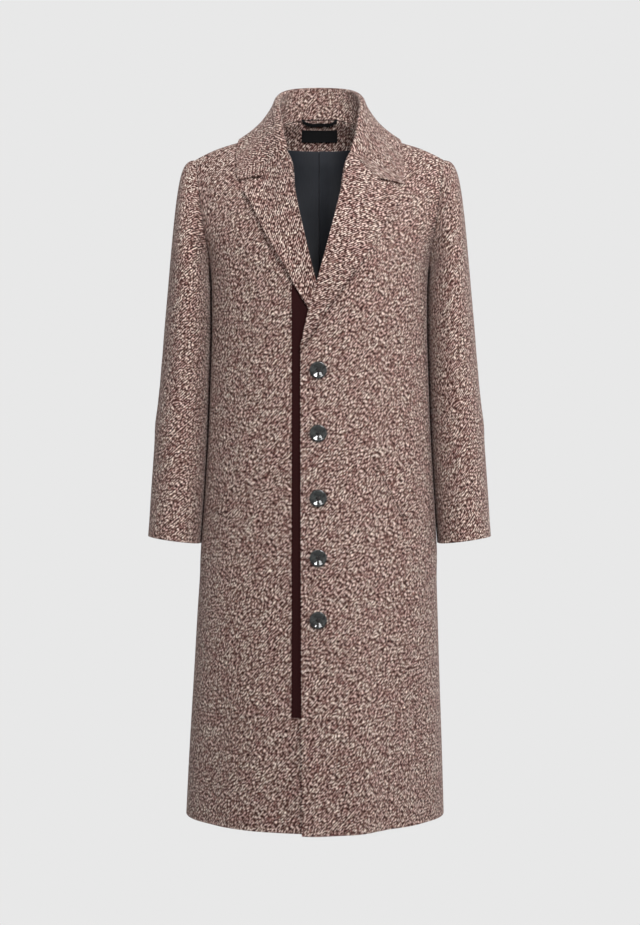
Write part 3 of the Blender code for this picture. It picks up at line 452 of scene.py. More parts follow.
def coons(bottom, top, left, right):
    """Blend four edge curves, given as lists of points, into a grid of rows."""
    bottom, top, left, right = (np.array(edge, dtype=float) for edge in (bottom, top, left, right))
    rows = []
    for j in range(len(left)):
        v = j / (len(left) - 1)
        row = []
        for i in range(len(bottom)):
            u = i / (len(bottom) - 1)
            corners = (1 - u) * (1 - v) * bottom[0] + u * (1 - v) * bottom[-1]
            corners = corners + (1 - u) * v * top[0] + u * v * top[-1]
            row.append((1 - v) * bottom[i] + v * top[i] + (1 - u) * left[j] + u * right[j] - corners)
        rows.append(row)
    return np.array(rows)


def pull_in(grid, gap):
    """Move the four edges of a grid inwards by half a seam gap."""
    out = grid.copy()
    for moved, given in ((out, grid), (out.swapaxes(0, 1), grid.swapaxes(0, 1))):
        for edge, inside in ((0, 1), (-1, -2)):
            lean = given[inside] - given[edge]
            moved[edge] += gap * lean / np.linalg.norm(lean, axis=1)[:, None]
    return out


def grid_normals(grid):
    """Unit normals of a grid, along rows crossed with up the columns."""
    across = np.gradient(grid, axis=1)
    up = np.gradient(grid, axis=0)
    return unit(np.cross(across, up))


def spread(count, start, end, crowd=1.0):
    """Evenly spaced values, crowded towards the end where crowd is over 1."""
    return [start + (end - start) * (1 - (1 - i / (count - 1)) ** crowd) for i in range(count)]


def armhole_edge(side, count):
    """Angle and height down the armhole, from the underarm to the shoulder tip."""
    name = side + "_x"
    low = ARMHOLE[-1][0]
    points = []
    underarm_points = max(4, count // 6)
    for k in range(underarm_points):
        turn = math.pi / 2 * k / underarm_points
        height = low - (low - UNDERARM) * math.cos(turn)
        low_angle = abs(angle_of(track(ARMHOLE, ARMHOLE_COLUMNS, name, low), low))
        points.append((math.pi / 2 - (math.pi / 2 - low_angle) * math.sin(turn), height))
    for height in spread(count - underarm_points, low, ARMHOLE[0][0], 1.3):
        x = track(ARMHOLE, ARMHOLE_COLUMNS, name, height)
        points.append((angle_of(x, height), height))
    return points


def front_edge(hand, heights):
    """Angle and height up the inner edge of one front, angles towards its own side seam."""
    mirror = MIRROR[hand]
    points = []
    for height in heights:
        x = track(EDGE, EDGE_COLUMNS, hand + "_x", height)
        points.append((mirror * angle_of(x, height), height))
    return points


def shoulder_edge(start_angle_x, count):
    """Angle and height along the shoulder seam from the neck point to the tip."""
    points = []
    for x in np.linspace(start_angle_x, SHOULDER_TIP_X, count):
        height = ridge_height(x)
        points.append((angle_of(x, height), height))
    return points


def level_edge(start_angle, height, count):
    return [(angle, height) for angle in np.linspace(start_angle, math.pi / 2, count)]


def hem_height(hand, angle):
    """The fronts hang a little lower than the sides, the upper front most."""
    extra, reach = HEM_DIP[hand]
    return HEM - extra * ease(reach, 0.0, abs(angle))


def body_grid(places, mirror, side):
    """Points of the outer cloth at each angle and height of a grid."""
    return np.array([[body_point(mirror * angle, height, side) for angle, height in row] for row in places])


def front_places(hand):
    """Angle and height of each grid point of one front, hem row first."""
    skirt = []
    for height in np.linspace(HEM, UNDERARM, SKIRT_ROWS):
        start = front_edge(hand, [height])[0][0]
        down = (UNDERARM - height) / (UNDERARM - HEM)
        row = level_edge(start, height, CLOTH_COLUMNS)
        skirt.append([(a, h + (hem_height(hand, a) - HEM) * down**8) for a, h in row])
    heights = spread(CHEST_ROWS, UNDERARM, EDGE[-1][0], 1.25)
    chest = coons(skirt[-1], shoulder_edge(NECK_POINT_X, CLOTH_COLUMNS),
                  front_edge(hand, heights), armhole_edge("front", CHEST_ROWS))
    return np.array(skirt[:-1] + [list(map(tuple, row)) for row in chest])


def front_grids(hand):
    """Outer and inner points of one front."""
    mirror = MIRROR[hand]
    outer = body_grid(front_places(hand), mirror, "front")
    normals = grid_normals(outer) * mirror
    normals[:SKIRT_ROWS, -1, 1:] = 0.0
    normals[-1] = ridge_normals(outer[-1])
    normals = unit(normals)
    for j, i in np.ndindex(outer.shape[:2]):
        x, depth, height = outer[j, i]
        lift = overlap_lift(x, height) if hand == "left" else 0.0
        lift += fold_swell("front", x, height) + side_swell(depth, height)
        outer[j, i] += normals[j, i] * lift
    outer = pull_in(outer, SEAM)
    return outer, outer - normals * CLOTH


def ridge_normals(points):
    """Normals along a shoulder seam: square to it, upwards, in the plane of the shoulders."""
    along = np.gradient(points, axis=0)
    normals = np.stack((-along[:, 2], np.zeros(len(points)), along[:, 0]), axis=1)
    return normals * np.sign(along[:, 0])[:, None]


def face_out(hand, grid):
    """Right-hand grids run the other way, so their columns are turned round."""
    return grid if hand == "left" else grid[:, ::-1]


def neck_columns(columns):
    """How many of the back's columns end at the neck."""
    return round(columns * NECK_SHARE)


def back_places(columns):
    """Angle and height of each grid point of one half of the back, hem row first."""
    skirt = [level_edge(0.0, height, columns) for height in np.linspace(HEM, UNDERARM, SKIRT_ROWS)]
    top = []
    neck = neck_columns(columns)
    for x in np.linspace(0.0, NECK_POINT_X, neck + 1)[:-1]:
        height = track(BACK_NECK, BACK_NECK_COLUMNS, "height", x)
        top.append((angle_of(x, height), height))
    top += shoulder_edge(NECK_POINT_X, columns - neck)
    heights = spread(CHEST_ROWS, UNDERARM, NAPE)
    chest = coons(skirt[-1], top, [(0.0, height) for height in heights],
                  armhole_edge("back", CHEST_ROWS))
    return np.array(skirt[:-1] + [list(map(tuple, row)) for row in chest])


def back_normals(outer, mirror):
    """Outward directions of half of the back, square to its middle and, in the skirt, to its side."""
    normals = grid_normals(outer) * -mirror
    normals[:SKIRT_ROWS, -1, 1:] = 0.0
    normals[:, 0, 0] = 0.0
    return normals


def back_grids(hand):
    """Outer and inner points of one half of the back."""
    mirror = MIRROR[hand]
    outer = body_grid(back_places(CLOTH_COLUMNS), mirror, "back")
    normals = back_normals(outer, mirror)
    neck = neck_columns(CLOTH_COLUMNS)
    normals[-1, neck:] = ridge_normals(outer[-1, neck:])
    normals = unit(normals)
    for j, i in np.ndindex(outer.shape[:2]):
        outer[j, i] += normals[j, i] * fold_swell("back", outer[j, i, 0], outer[j, i, 2])
    face = pull_in(outer, SEAM)
    return face, face - normals * CLOTH


def sleeve_row(height):
    return [track(SLEEVE, SLEEVE_COLUMNS, name, height) for name in SLEEVE_COLUMNS[1:]]


def sleeve_oval(turn, height):
    """A point of the left sleeve below its cap. Turn 0 is the front, a quarter is outside."""
    inner, outer, middle, half_depth = sleeve_row(height)
    half = (outer - inner) / 2
    x = (outer + inner) / 2 + half * math.sin(turn)
    rise = CUFF_RISE * half * math.sin(turn) * ease(CUFF_RISE_START, SLEEVE[-1][0], height)
    return np.array((x, middle - half_depth * math.cos(turn), height + rise))


def armhole_loop(turn):
    """A point of the left armhole. Turn runs from the front to outside to the back."""
    wrapped = (turn + math.pi / 2) % (2 * math.pi)
    side = "front" if wrapped <= math.pi else "back"
    share = wrapped / math.pi if side == "front" else (2 * math.pi - wrapped) / math.pi
    places = armhole_edge(side, 24)
    points = np.array([body_point(angle, height, side) for angle, height in places])
    lengths = np.concatenate(((0,), np.cumsum(np.linalg.norm(np.diff(points, axis=0), axis=1))))
    target = share * lengths[-1]
    return np.array([np.interp(target, lengths, points[:, axis]) for axis in range(3)])


def sleeve_cap(turn, share):
    """A point of the cap, from the armhole at share 0 to the first oval at share 1."""
    start = armhole_loop(turn)
    end = sleeve_oval(turn, SLEEVE_TOP)
    outside = max(math.sin(turn), 0.0)
    leave = np.array((0.35 + 0.65 * outside, -0.75 * math.cos(turn), -0.45 + 0.42 * outside))
    under = max(-math.sin(turn), 0.0)
    leave = leave * (1 - under) + np.array((0.25, 0.0, -1.0)) * under
    leave /= np.linalg.norm(leave)
    span = np.linalg.norm(end - start)
    arrive = np.array((0.085 * math.sin(turn), 0.0, -1.0))
    first = start + leave * min(CAP_HANDLE, 0.4 * span)
    second = end - arrive * blend_length(outside, span, start[2] - end[2])
    weights = ((1 - share) ** 3, 3 * share * (1 - share) ** 2, 3 * share**2 * (1 - share), share**3)
    return sum(weight * point for weight, point in zip(weights, (start, first, second, end)))


def blend_length(outside, span, fall):
    """Length of the lower handle of the cap's curves, longest on the outside."""
    return 0.55 * span * (1 - outside) + 0.86 * fall * outside


def sleeve_grid(first_turn, last_turn, columns, cap_rows, rows):
    """Outer points of part of the left sleeve, cuff row first."""
    heights = np.linspace(SLEEVE[-1][0], SLEEVE_TOP, rows)
    turns = np.linspace(first_turn, last_turn, columns)
    grid = [[sleeve_oval(turn, height) for turn in turns] for height in heights]
    for share in np.linspace(1, 0, cap_rows + 1)[1:]:
        grid.append([sleeve_cap(turn, share) for turn in turns])
    return np.array(grid)


def lapel_places(hand, columns, rows):
    """x and height of each grid point of a lapel, break first."""
    heights = np.linspace(LAPEL_BREAK + 0.004, GORGE_TOP[hand][1], rows)
    roll = [(track(EDGE, EDGE_COLUMNS, hand + "_x", h), h) for h in heights]
    tip = LAPEL_TIP[hand]
    free = []
    for height in np.linspace(LAPEL_BREAK + 0.004, tip[1], rows):
        free.append((track(LAPEL_EDGE, LAPEL_EDGE_COLUMNS, hand + "_x", height), height))
    free[-1] = tip
    half = columns // 2
    notch = np.array(NOTCH[hand])
    top = [tuple(p) for p in np.linspace(GORGE_TOP[hand], notch, half + 1)]
    top += [tuple(p) for p in np.linspace(notch, tip, columns - half)[1:]]
    bottom = [tuple(p) for p in np.linspace(roll[0], free[0], columns)]
    return coons(bottom, top, roll, free)


def roll_lift(share, height):
    """The lapel stands off the front where it rolls over."""
    return ROLL_LIFT * (1 - min(share / 0.3, 1.0)) ** 2 * ease(-0.30, -0.22, height)


def lying_point(x, height, side, out):
    """A point at a distance out from the front or the back."""
    ridge = ridge_height(x)
    base = min(height, ridge)
    point = body_point(angle_of(x, base), base, side)
    if side == "ridge":
        return point + np.array((math.copysign(0.35, x), 0.0, 0.94)) * (out + RIDGE_CLEARANCE)
    return point + surface_normal(x, base, side) * out


def collar_stations(hand):
    """Crown, free edge and lying share of each collar row of one side, back first."""
    mirror = MIRROR[hand]
    on_top = LAY_GAP + FOLDED_CLOTH
    corner = np.array(COLLAR_CORNER[hand])
    tilt = corner - np.array((mirror * CORNER_MIDDLE[0], CORNER_MIDDLE[1]))
    stations = []
    for k, row in enumerate(COLLAR):
        crown = np.array((mirror * row[0], row[1], row[2]))
        side = "back" if k < SHOULDER_ROW else "ridge" if k == SHOULDER_ROW else "front"
        share = max(k - SHOULDER_ROW, 0) / (len(COLLAR) + GORGE_ROWS - 1 - SHOULDER_ROW)
        edge = np.array((mirror * row[3], row[4])) + tilt * share
        stations.append((crown, lying_point(edge[0], edge[1], side, on_top), edge))
    start, notch = np.array(GORGE_TOP[hand]), np.array(NOTCH[hand])
    first_edge = stations[-1][2]
    for k in range(GORGE_ROWS):
        share = k / (GORGE_ROWS - 1)
        seam = start + (notch - start) * share
        edge = first_edge + (corner - first_edge) * (k + 1) / GORGE_ROWS
        crown = on_front(hand, seam[0], seam[1], on_top + ROLL_LIFT * (1 - share) ** 2)
        stations.append((crown, lying_point(edge[0], edge[1], "front", on_top), edge))
    return stations


def collar_profiles(hand):
    """Outer points and outward directions of the collar's fall, one row for each station."""
    stations = collar_stations(hand)
    crowns = np.array([station[0] for station in stations])
    mirror = MIRROR[hand]
    tangents = np.gradient(crowns, axis=0) * mirror
    tangents[0] = (1.0, 0.0, 0.0)
    folded_rows = len(COLLAR)
    outer, outward = [], []
    for k, (crown, edge_point, edge) in enumerate(stations):
        fold = ease(folded_rows + 0.5, folded_rows - 2.5, k)
        bridge = ease(len(stations) - 1, SHOULDER_ROW + 1, k)
        down = edge_point - crown
        down /= np.linalg.norm(down)
        normal = np.cross(tangents[k], down)
        normal /= np.linalg.norm(normal)
        middle = crown + down * FOLD_RADIUS
        row, directions = [], []
        for j in range(FOLD_POINTS):
            turn = math.pi / 2 - fold * math.pi * (1 - j / (FOLD_POINTS - 1))
            curl = normal * math.sin(turn) - down * math.cos(turn)
            flat = crown + down * FLAT_START * j / (FOLD_POINTS - 1)
            row.append(fold * (middle + curl * FOLD_RADIUS) + (1 - fold) * flat)
            directions.append(curl)
        start = row[-1]
        for j in range(1, FALL_POINTS):
            share = j / (FALL_POINTS - 1)
            hollow = FALL_HOLLOW * math.sin(math.pi * share) * ease(0.0, 2.5, k) * ease(10.0, 6.0, k)
            point = start + (edge_point - start) * share - normal * hollow
            if k > SHOULDER_ROW:
                flat_xz = np.array((start[0], start[2])) * (1 - share) + edge * share
                lying = on_front(hand, flat_xz[0], flat_xz[1], LAY_GAP + FOLDED_CLOTH)
                settle = (1 - bridge) * min(3 * share, 1.0)
                point = point * (1 - settle) + lying * settle
            row.append(point)
            directions.append(normal)
        outer.append(row)
        outward.append(directions)
    outer, outward = np.array(outer), np.array(outward)
    lie = grid_normals(outer) * -mirror
    outward[:, FOLD_POINTS:] = lie[:, FOLD_POINTS:]
    return outer, unit(outward)


def both_sides(left, right):
    """Join two half grids that share their first row, right end first."""
    return np.concatenate((right[:0:-1], left))


def stand_profiles(hand):
    """Neck side points of the collar's stand and the direction away from the neck."""
    mirror = MIRROR[hand]
    tops = collar_profiles(hand)[0][: len(COLLAR) - 1, 0]
    bottoms = []
    for k, row in enumerate(COLLAR[:-1]):
        side = "back" if k <= SHOULDER_ROW else "front"
        bottoms.append(lying_point(mirror * row[5], row[6], side, -CLOTH))
    bottoms = np.array(bottoms)
    tangents = np.gradient(bottoms, axis=0) * mirror
    tangents[0] = (1.0, 0.0, 0.0)
    rise = tops - bottoms
    away = np.cross(rise, tangents)
    away /= np.linalg.norm(away, axis=1)[:, None]
    grid, aways = [], []
    for k in range(len(tops)):
        lean = rise[k] / np.linalg.norm(rise[k])
        low, high = bottoms[k] + lean * STAND_LIFT, tops[k] - lean * 2 * SEAM
        grid.append([low + (high - low) * j / (STAND_POINTS - 1) for j in range(STAND_POINTS)])
        aways.append([away[k]] * STAND_POINTS)
    return np.array(grid), np.array(aways)


def back_patch(half_width, top, bottom, columns, rows, depth, thickness):
    """A patch inside the back: its outer and inner points, depth in from the back's face."""
    outer = np.zeros((rows, columns, 3))
    inner = outer.copy()
    for i, x in enumerate(np.linspace(half_width, -half_width, columns)):
        high = top(abs(x))
        sunk = depth + FACING_SLACK * (x / FACING_HALF) ** 2
        for j, height in enumerate(np.linspace(bottom, high, rows)):
            outer[j, i] = lying_point(x, height, "back", -sunk)
            inner[j, i] = lying_point(x, height, "back", -sunk - thickness)
    return outer, inner


def neck_seam(x):
    return track(BACK_NECK, BACK_NECK_COLUMNS, "height", x) - 2 * SEAM


def smooth_along(points, times):
    """More rows in a grid, on smooth curves through the given ones."""
    lengths = np.maximum(np.linalg.norm(np.diff(points, axis=0), axis=2), SHORTEST)[:, :, None]
    tangents = tangents_of(np.diff(points, axis=0) / lengths, lengths)
    rows = [points[0]]
    for k in range(len(points) - 1):
        for t in np.arange(1, times + 1) / times:
            rows.append(between(t, points[k], points[k + 1], tangents[k], tangents[k + 1], lengths[k]))
    return np.array(rows)


def refine(grid, times):
    """A finer grid on the same smooth surface."""
    return smooth_along(smooth_along(grid, times).swapaxes(0, 1), times).swapaxes(0, 1)


def put(tree, kind, inputs=None, **options):
    """A shader node with its options set and its inputs joined or filled in."""
    item = tree.nodes.new(kind)
    for name, value in options.items():
        setattr(item, name, value)
    for name, value in (inputs or {}).items():
        if isinstance(value, bpy.types.NodeSocket):
            tree.links.new(value, item.inputs[name])
        else:
            item.inputs[name].default_value = value
    return item


def ramp(tree, factor, stops):
    """A colour ramp from a list of places and colours."""
    item = put(tree, "ShaderNodeValToRGB", {"Fac": factor})
    band = item.color_ramp
    while len(band.elements) < len(stops):
        band.elements.new(0.5)
    for element, (place, colour) in zip(band.elements, stops):
        element.position = place
        element.color = (*colour, 1.0)
    return item.outputs["Color"]


def sums(tree, operation, first, second, third=None):
    """One step of arithmetic on sockets or numbers."""
    inputs = {0: first, 1: second}
    if third is not None:
        inputs[2] = third
    return put(tree, "ShaderNodeMath", inputs, operation=operation).outputs[0]


def tint(tree, first, second):
    """Two colours multiplied."""
    inputs = {0: 1.0, 6: first, 7: second}
    return put(tree, "ShaderNodeMix", inputs, data_type="RGBA", blend_type="MULTIPLY").outputs[2]


def stretch(tree, place, shares):
    """Places with each axis scaled by a share, so that noise on them draws out."""
    return put(tree, "ShaderNodeVectorMath", {0: place, 1: shares}, operation="MULTIPLY").outputs[0]


def shades_of(tree, factor, colour, dark, light):
    """Shades of one colour, from a dark to a light share of it."""
    base = np.array(colour)
    return ramp(tree, factor, ((0.3, tuple(base * dark)), (0.7, tuple(base * light))))


def speckle(tree, place, scale, detail=2.0, roughness=0.55, distortion=0.0):
    inputs = {"Vector": place, "Scale": scale, "Detail": detail, "Roughness": roughness,
              "Distortion": distortion}
    return put(tree, "ShaderNodeTexNoise", inputs).outputs["Fac"]


def new_finish(name, **settings):
    """A fresh material with its tree and shader; settings name the shader's inputs."""
    material = bpy.data.materials.new(name)
    material.use_nodes = True
    tree = material.node_tree
    shader = tree.nodes["Principled BSDF"]
    for setting, value in settings.items():
        shader.inputs[setting.replace("_", " ")].default_value = value
    return material, tree, shader


def dress(tree, shader, colour, height, distance, strength):
    """Give a shader its colour and a relief."""
    tree.links.new(colour, shader.inputs["Base Color"])
    bump = put(tree, "ShaderNodeBump", {"Height": height, "Distance": distance, "Strength": strength})
    tree.links.new(bump.outputs["Normal"], shader.inputs["Normal"])


def cloth_place(tree):
    """The cloth's own place in metres, across and along its grain."""
    return put(tree, "ShaderNodeUVMap", uv_map="cloth").outputs["UV"]


# Twill: noise scales are in each metre of cloth, shares are of the tone from dark to light
WOBBLE_SCALE = 150.0
WOBBLE_REACH = 3.6
SLUB_STRETCH = (0.55, 1.0, 1.0)
YARN_FINENESS = 2.6
TONE_START = -0.31
WALE_SHARE = 0.16
SLUB_SHARE = 1.36
YARN_SHARE = 0.26
TONE_STOPS = (0.24, 0.50, 0.76)
PATCH_SCALE = 130.0
PATCH_STOPS = ((0.34, (0.62, 0.51, 0.50)), (0.48, (1.0, 0.98, 0.97)), (0.66, (1.28, 1.33, 1.32)))
CLUMP_SCALE = 200.0
CLUMP_STOPS = ((0.28, (0.42, 0.27, 0.26)), (0.44, (1.0, 1.0, 1.0)))
CLOUD_SCALE = 46.0
CLOUD_STOPS = ((0.34, (0.86, 0.75, 0.75)), (0.66, (1.12, 1.20, 1.17)))


def twill_finish(cloth):
    """Two-tone twill: light and dark yarns in slanted wales, with flecks and soft mottling."""
    material, tree, shader = new_finish(
        "rose_and_burgundy_twill", Roughness=0.88, Sheen_Weight=0.18, Sheen_Roughness=0.55,
        Sheen_Tint=(0.95, 0.82, 0.78, 1.0), Specular_IOR_Level=0.18)
    place = cloth_place(tree)
    turn = (0.0, 0.0, -cloth.wale_angle)
    along = put(tree, "ShaderNodeMapping", {"Vector": place, "Rotation": turn}).outputs["Vector"]
    axes = put(tree, "ShaderNodeSeparateXYZ", {"Vector": along}).outputs
    wobble = speckle(tree, place, WOBBLE_SCALE, 0.0)
    wales = sums(tree, "MULTIPLY", axes["Y"], 2 * math.pi / cloth.wale_width)
    wales = sums(tree, "MULTIPLY_ADD", wobble, WOBBLE_REACH, wales)
    wales = sums(tree, "SINE", wales, 0.0)
    slub = speckle(tree, stretch(tree, along, SLUB_STRETCH), cloth.fleck_scale, 0.0)
    yarn = speckle(tree, along, cloth.fleck_scale * YARN_FINENESS, 1.0, 0.5)
    tone = TONE_START
    for part, share in ((wales, WALE_SHARE), (slub, SLUB_SHARE), (yarn, YARN_SHARE)):
        tone = sums(tree, "MULTIPLY_ADD", part, share, tone)
    yarns = (cloth.dark_yarn, cloth.middle_yarn, cloth.light_yarn)
    colour = ramp(tree, tone, [(stop, tuple(shade)) for stop, shade in zip(TONE_STOPS, yarns)])
    patches = ramp(tree, speckle(tree, place, PATCH_SCALE, 2.0, 0.6), PATCH_STOPS)
    clumps = ramp(tree, speckle(tree, place, CLUMP_SCALE, 0.0), CLUMP_STOPS)
    clouds = ramp(tree, speckle(tree, place, CLOUD_SCALE, 2.0, 0.6), CLOUD_STOPS)
    colour = tint(tree, tint(tree, colour, tint(tree, patches, clumps)), clouds)
    dress(tree, shader, colour, tone, 0.0012, 0.5)
    return material


def satin_finish(cloth):
    """Dark slate satin with faint lengthways threads."""
    material, tree, shader = new_finish("slate_satin", Roughness=0.34, Sheen_Weight=0.10)
    place = cloth_place(tree)
    threads = speckle(tree, stretch(tree, place, (1.0, 0.06, 1.0)), 900.0)
    soft = speckle(tree, place, 16.0)
    tone = sums(tree, "MULTIPLY_ADD", threads, 0.5, sums(tree, "MULTIPLY", soft, 0.5))
    dress(tree, shader, shades_of(tree, tone, cloth.lining_colour, 0.78, 1.25), threads, 0.0003, 0.25)
    return material


def plain_cloth_finish(name, colour, roughness, ribs):
    """A plain dark cloth or tape with fine ribs across it."""
    material, tree, shader = new_finish(name, Roughness=roughness, Specular_IOR_Level=0.12)
    place = cloth_place(tree)
    axes = put(tree, "ShaderNodeSeparateXYZ", {"Vector": place}).outputs
    rows = sums(tree, "SINE", sums(tree, "MULTIPLY", axes["Y"], 2 * math.pi * ribs), 0.0)
    tone = sums(tree, "MULTIPLY_ADD", rows, 0.10, speckle(tree, place, 620.0, 3.0))
    dress(tree, shader, shades_of(tree, tone, colour, 0.72, 1.3), tone, 0.0005, 0.4)
    return material


def horn_finish(buttons):
    """Smoky marbled horn, polished."""
    material, tree, shader = new_finish("smoky_horn", Roughness=0.10, Coat_Weight=0.7, Coat_Roughness=0.06)
    place = put(tree, "ShaderNodeTexCoord").outputs["Object"]
    veins = speckle(tree, place, 95.0, 4.0, 0.6, 1.6)
    colour = ramp(tree, veins, ((0.36, tuple(buttons.dark_horn)), (0.70, tuple(buttons.light_horn))))
    dress(tree, shader, colour, speckle(tree, place, 420.0), 0.0002, 0.12)
    return material


def thread_finish(name, colour):
    """Twisted sewing thread."""
    material, tree, shader = new_finish(name, Roughness=0.6)
    twist = speckle(tree, put(tree, "ShaderNodeTexCoord").outputs["Object"], 1800.0)
    dress(tree, shader, shades_of(tree, twist, colour, 0.6, 1.4), twist, 0.0002, 0.5)
    return material


FINISHES = {}


def finish_of(name):
    """A finish, made when it is first asked for."""
    if name not in FINISHES:
        scene = bpy.context.scene
        cloth, buttons = scene.overcoat_cloth, scene.overcoat_buttons
        makers = {
            "twill": lambda: twill_finish(cloth),
            "lining": lambda: satin_finish(cloth),
            "strip": lambda: plain_cloth_finish("burgundy_strip", cloth.strip_colour, 0.9, 700.0),
            "trim": lambda: plain_cloth_finish("black_tape", cloth.trim_colour, 0.72, 1100.0),
            "button": lambda: horn_finish(buttons),
            "thread": lambda: thread_finish("burgundy_thread", cloth.thread_colour),
            "dark_thread": lambda: thread_finish("black_thread", buttons.thread_colour),
        }
        FINISHES[name] = makers[name]()
    return FINISHES[name]


SHARP = math.radians(50)
EDGE_ROUNDING = 0.0008
ROUNDED_SHARE = 0.3


def add_object(name, data):
    """An object of the scene that shows some data."""
    item = bpy.data.objects.new(name, data)
    bpy.context.scene.collection.objects.link(item)
    return item


def new_piece(name, points, faces, slot, nodes, finish=None):
    """A piece of the coat that rides on the frame and stands for its solid."""
    mesh = bpy.data.meshes.new(name)
    mesh.from_pydata(np.asarray(points).tolist(), [], faces)
    mesh.materials.append(finish_of(finish or slot))
    mesh.shade_smooth()
    mesh.set_sharp_from_angle(angle=SHARP)
    item = add_object(name, mesh)
    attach(item, "root")
    if nodes:
        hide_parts(*nodes)
    return item


def cloth_wall(name, outer, inner, places, slot, nodes, lined=None):
    """A closed piece of cloth between two grids; lined says which inner cells show lining."""
    rows, columns = outer.shape[:2]
    count = rows * columns
    points = np.concatenate((outer.reshape(-1, 3), inner.reshape(-1, 3)))
    faces, finish = [], []
    for j in range(rows - 1):
        for i in range(columns - 1):
            a = j * columns + i
            b = a + count
            faces.append((a, a + 1, a + columns + 1, a + columns))
            faces.append((b, b + columns, b + columns + 1, b + 1))
            finish += [0, 1 if lined is not None and lined[j, i] else 0]
    rim = list(range(columns))
    rim += [j * columns + columns - 1 for j in range(1, rows)]
    rim += [(rows - 1) * columns + i for i in range(columns - 2, -1, -1)]
    rim += [j * columns for j in range(rows - 2, 0, -1)]
    for here, after in zip(rim, rim[1:] + rim[:1]):
        faces.append((after, here, here + count, after + count))
        finish.append(0)
    item = new_piece(name, points, faces, slot, nodes)
    mesh = item.data
    if lined is not None:
        mesh.materials.append(finish_of("lining"))
        mesh.polygons.foreach_set("material_index", finish)
    layer = mesh.uv_layers.new(name="cloth")
    corners = np.empty(len(mesh.loops), dtype=np.int32)
    mesh.loops.foreach_get("vertex_index", corners)
    layer.data.foreach_set("uv", places.reshape(-1, 2)[corners % count].ravel())
    round_edges(item, min(EDGE_ROUNDING, ROUNDED_SHARE * np.linalg.norm(outer - inner, axis=2).min()))
    return item


def hand_piece(node, hand, outer, inner, places, lined=None):
    """A twill piece of one side, its grids turned so that their faces look out."""
    grids = (face_out(hand, grid) for grid in (outer, inner, places))
    cloth_wall(node + "_cloth", *grids, "twill", [node], lined)


def round_edges(item, width, segments=2):
    rounding = item.modifiers.new("rounded edges", "BEVEL")
    rounding.width = width
    rounding.segments = segments
    rounding.limit_method = "ANGLE"
    rounding.angle_limit = SHARP


def run_across(grid):
    """Length along each row of a grid, seen from above."""
    steps = np.linalg.norm(np.diff(grid[:, :, :2], axis=1), axis=2)
    return np.concatenate((np.zeros((len(grid), 1)), np.cumsum(steps, axis=1)), axis=1)


def run_up(grid, sides=(1, 2)):
    """Height of each point with the cloth's lean laid flat, from its lowest row."""
    lengths = np.linalg.norm(np.diff(grid, axis=0)[:, :, sides], axis=2)
    return np.concatenate((grid[:1, :, 2], grid[:1, :, 2] + np.cumsum(lengths, axis=0)))


def run_both(grid):
    """Lengths across and along a grid, each from its first edge."""
    across = np.linalg.norm(np.diff(grid, axis=1), axis=2)
    across = np.concatenate((np.zeros((len(grid), 1)), np.cumsum(across, axis=1)), axis=1)
    along = np.linalg.norm(np.diff(grid, axis=0), axis=2).mean(axis=1)
    along = np.concatenate(((0.0,), np.cumsum(along)))
    return np.stack((across, np.repeat(along[:, None], grid.shape[1], axis=1)), axis=2)


def on_grain(grid, angle):
    """Places on cloth cut with its grain turned by an angle, seen from the front."""
    x, z = grid[:, :, 0], grid[:, :, 2]
    across = x * math.cos(angle) + z * math.sin(angle)
    along = z * math.cos(angle) - x * math.sin(angle)
    return np.stack((across, along), axis=2)


def make_front(hand):
    """One front, with a cloth facing inside its edge and lining beyond it."""
    outer, inner = front_grids(hand)
    across = run_across(outer)
    places = np.stack((outer[:, :1, 0] + MIRROR[hand] * across, run_up(outer)), axis=2)
    lined = (across > FACING_WIDTH) & (outer[:, :, 2] > HEM + TURN_UP)
    hand_piece("front_" + hand, hand, outer, inner, places, face_out(hand, lined)[:-1, :-1])


def make_back(hand):
    """One half of the back."""
    other = "right" if hand == "left" else "left"
    outer, inner = back_grids(hand)
    places = np.stack((-MIRROR[hand] * run_across(outer), run_up(outer)), axis=2)
    hand_piece("back_" + hand, other, outer, inner, places)


def hump(place, middle, width):
    """A smooth bump that ends a width either side of its middle."""
    share = min(abs(place - middle) / width, 1.0)
    return (1 - share * share) ** 2


def side_swell(depth, height):
    """The front fills out where it meets the sleeve."""
    reach = ease(*SWELL_TOP, height) * ease(*SIDE_SWELL_END, height)
    return SIDE_SWELL * hump(depth, SIDE_SWELL_DEPTH, SIDE_SWELL_WIDTH) * reach


def sleeve_swell(turn, height):
    """The sleeve fills out behind the front's side, where the arm hangs."""
    return SLEEVE_SWELL * hump(turn, SLEEVE_SWELL_TURN, SLEEVE_SWELL_WIDTH) * ease(*SWELL_TOP, height)


SWELL_TOP = (-0.250, -0.274)
SIDE_SWELL_END = (-0.80, -0.74)
SIDE_SWELL = 0.0034
SIDE_SWELL_DEPTH = -0.034
SIDE_SWELL_WIDTH = 0.032
SLEEVE_SWELL = 0.0052
SLEEVE_SWELL_TURN = math.radians(236)
SLEEVE_SWELL_WIDTH = math.radians(36)
CAP_ROWS = 26
SLEEVE_ROWS = 40
SMOOTH_ROWS = 6
SLEEVE_PARTS = {
    "top": (FRONT_SEAM_TURN, BACK_SEAM_TURN, 49),
    "under": (BACK_SEAM_TURN, FRONT_SEAM_TURN + 2 * math.pi, 25),
}


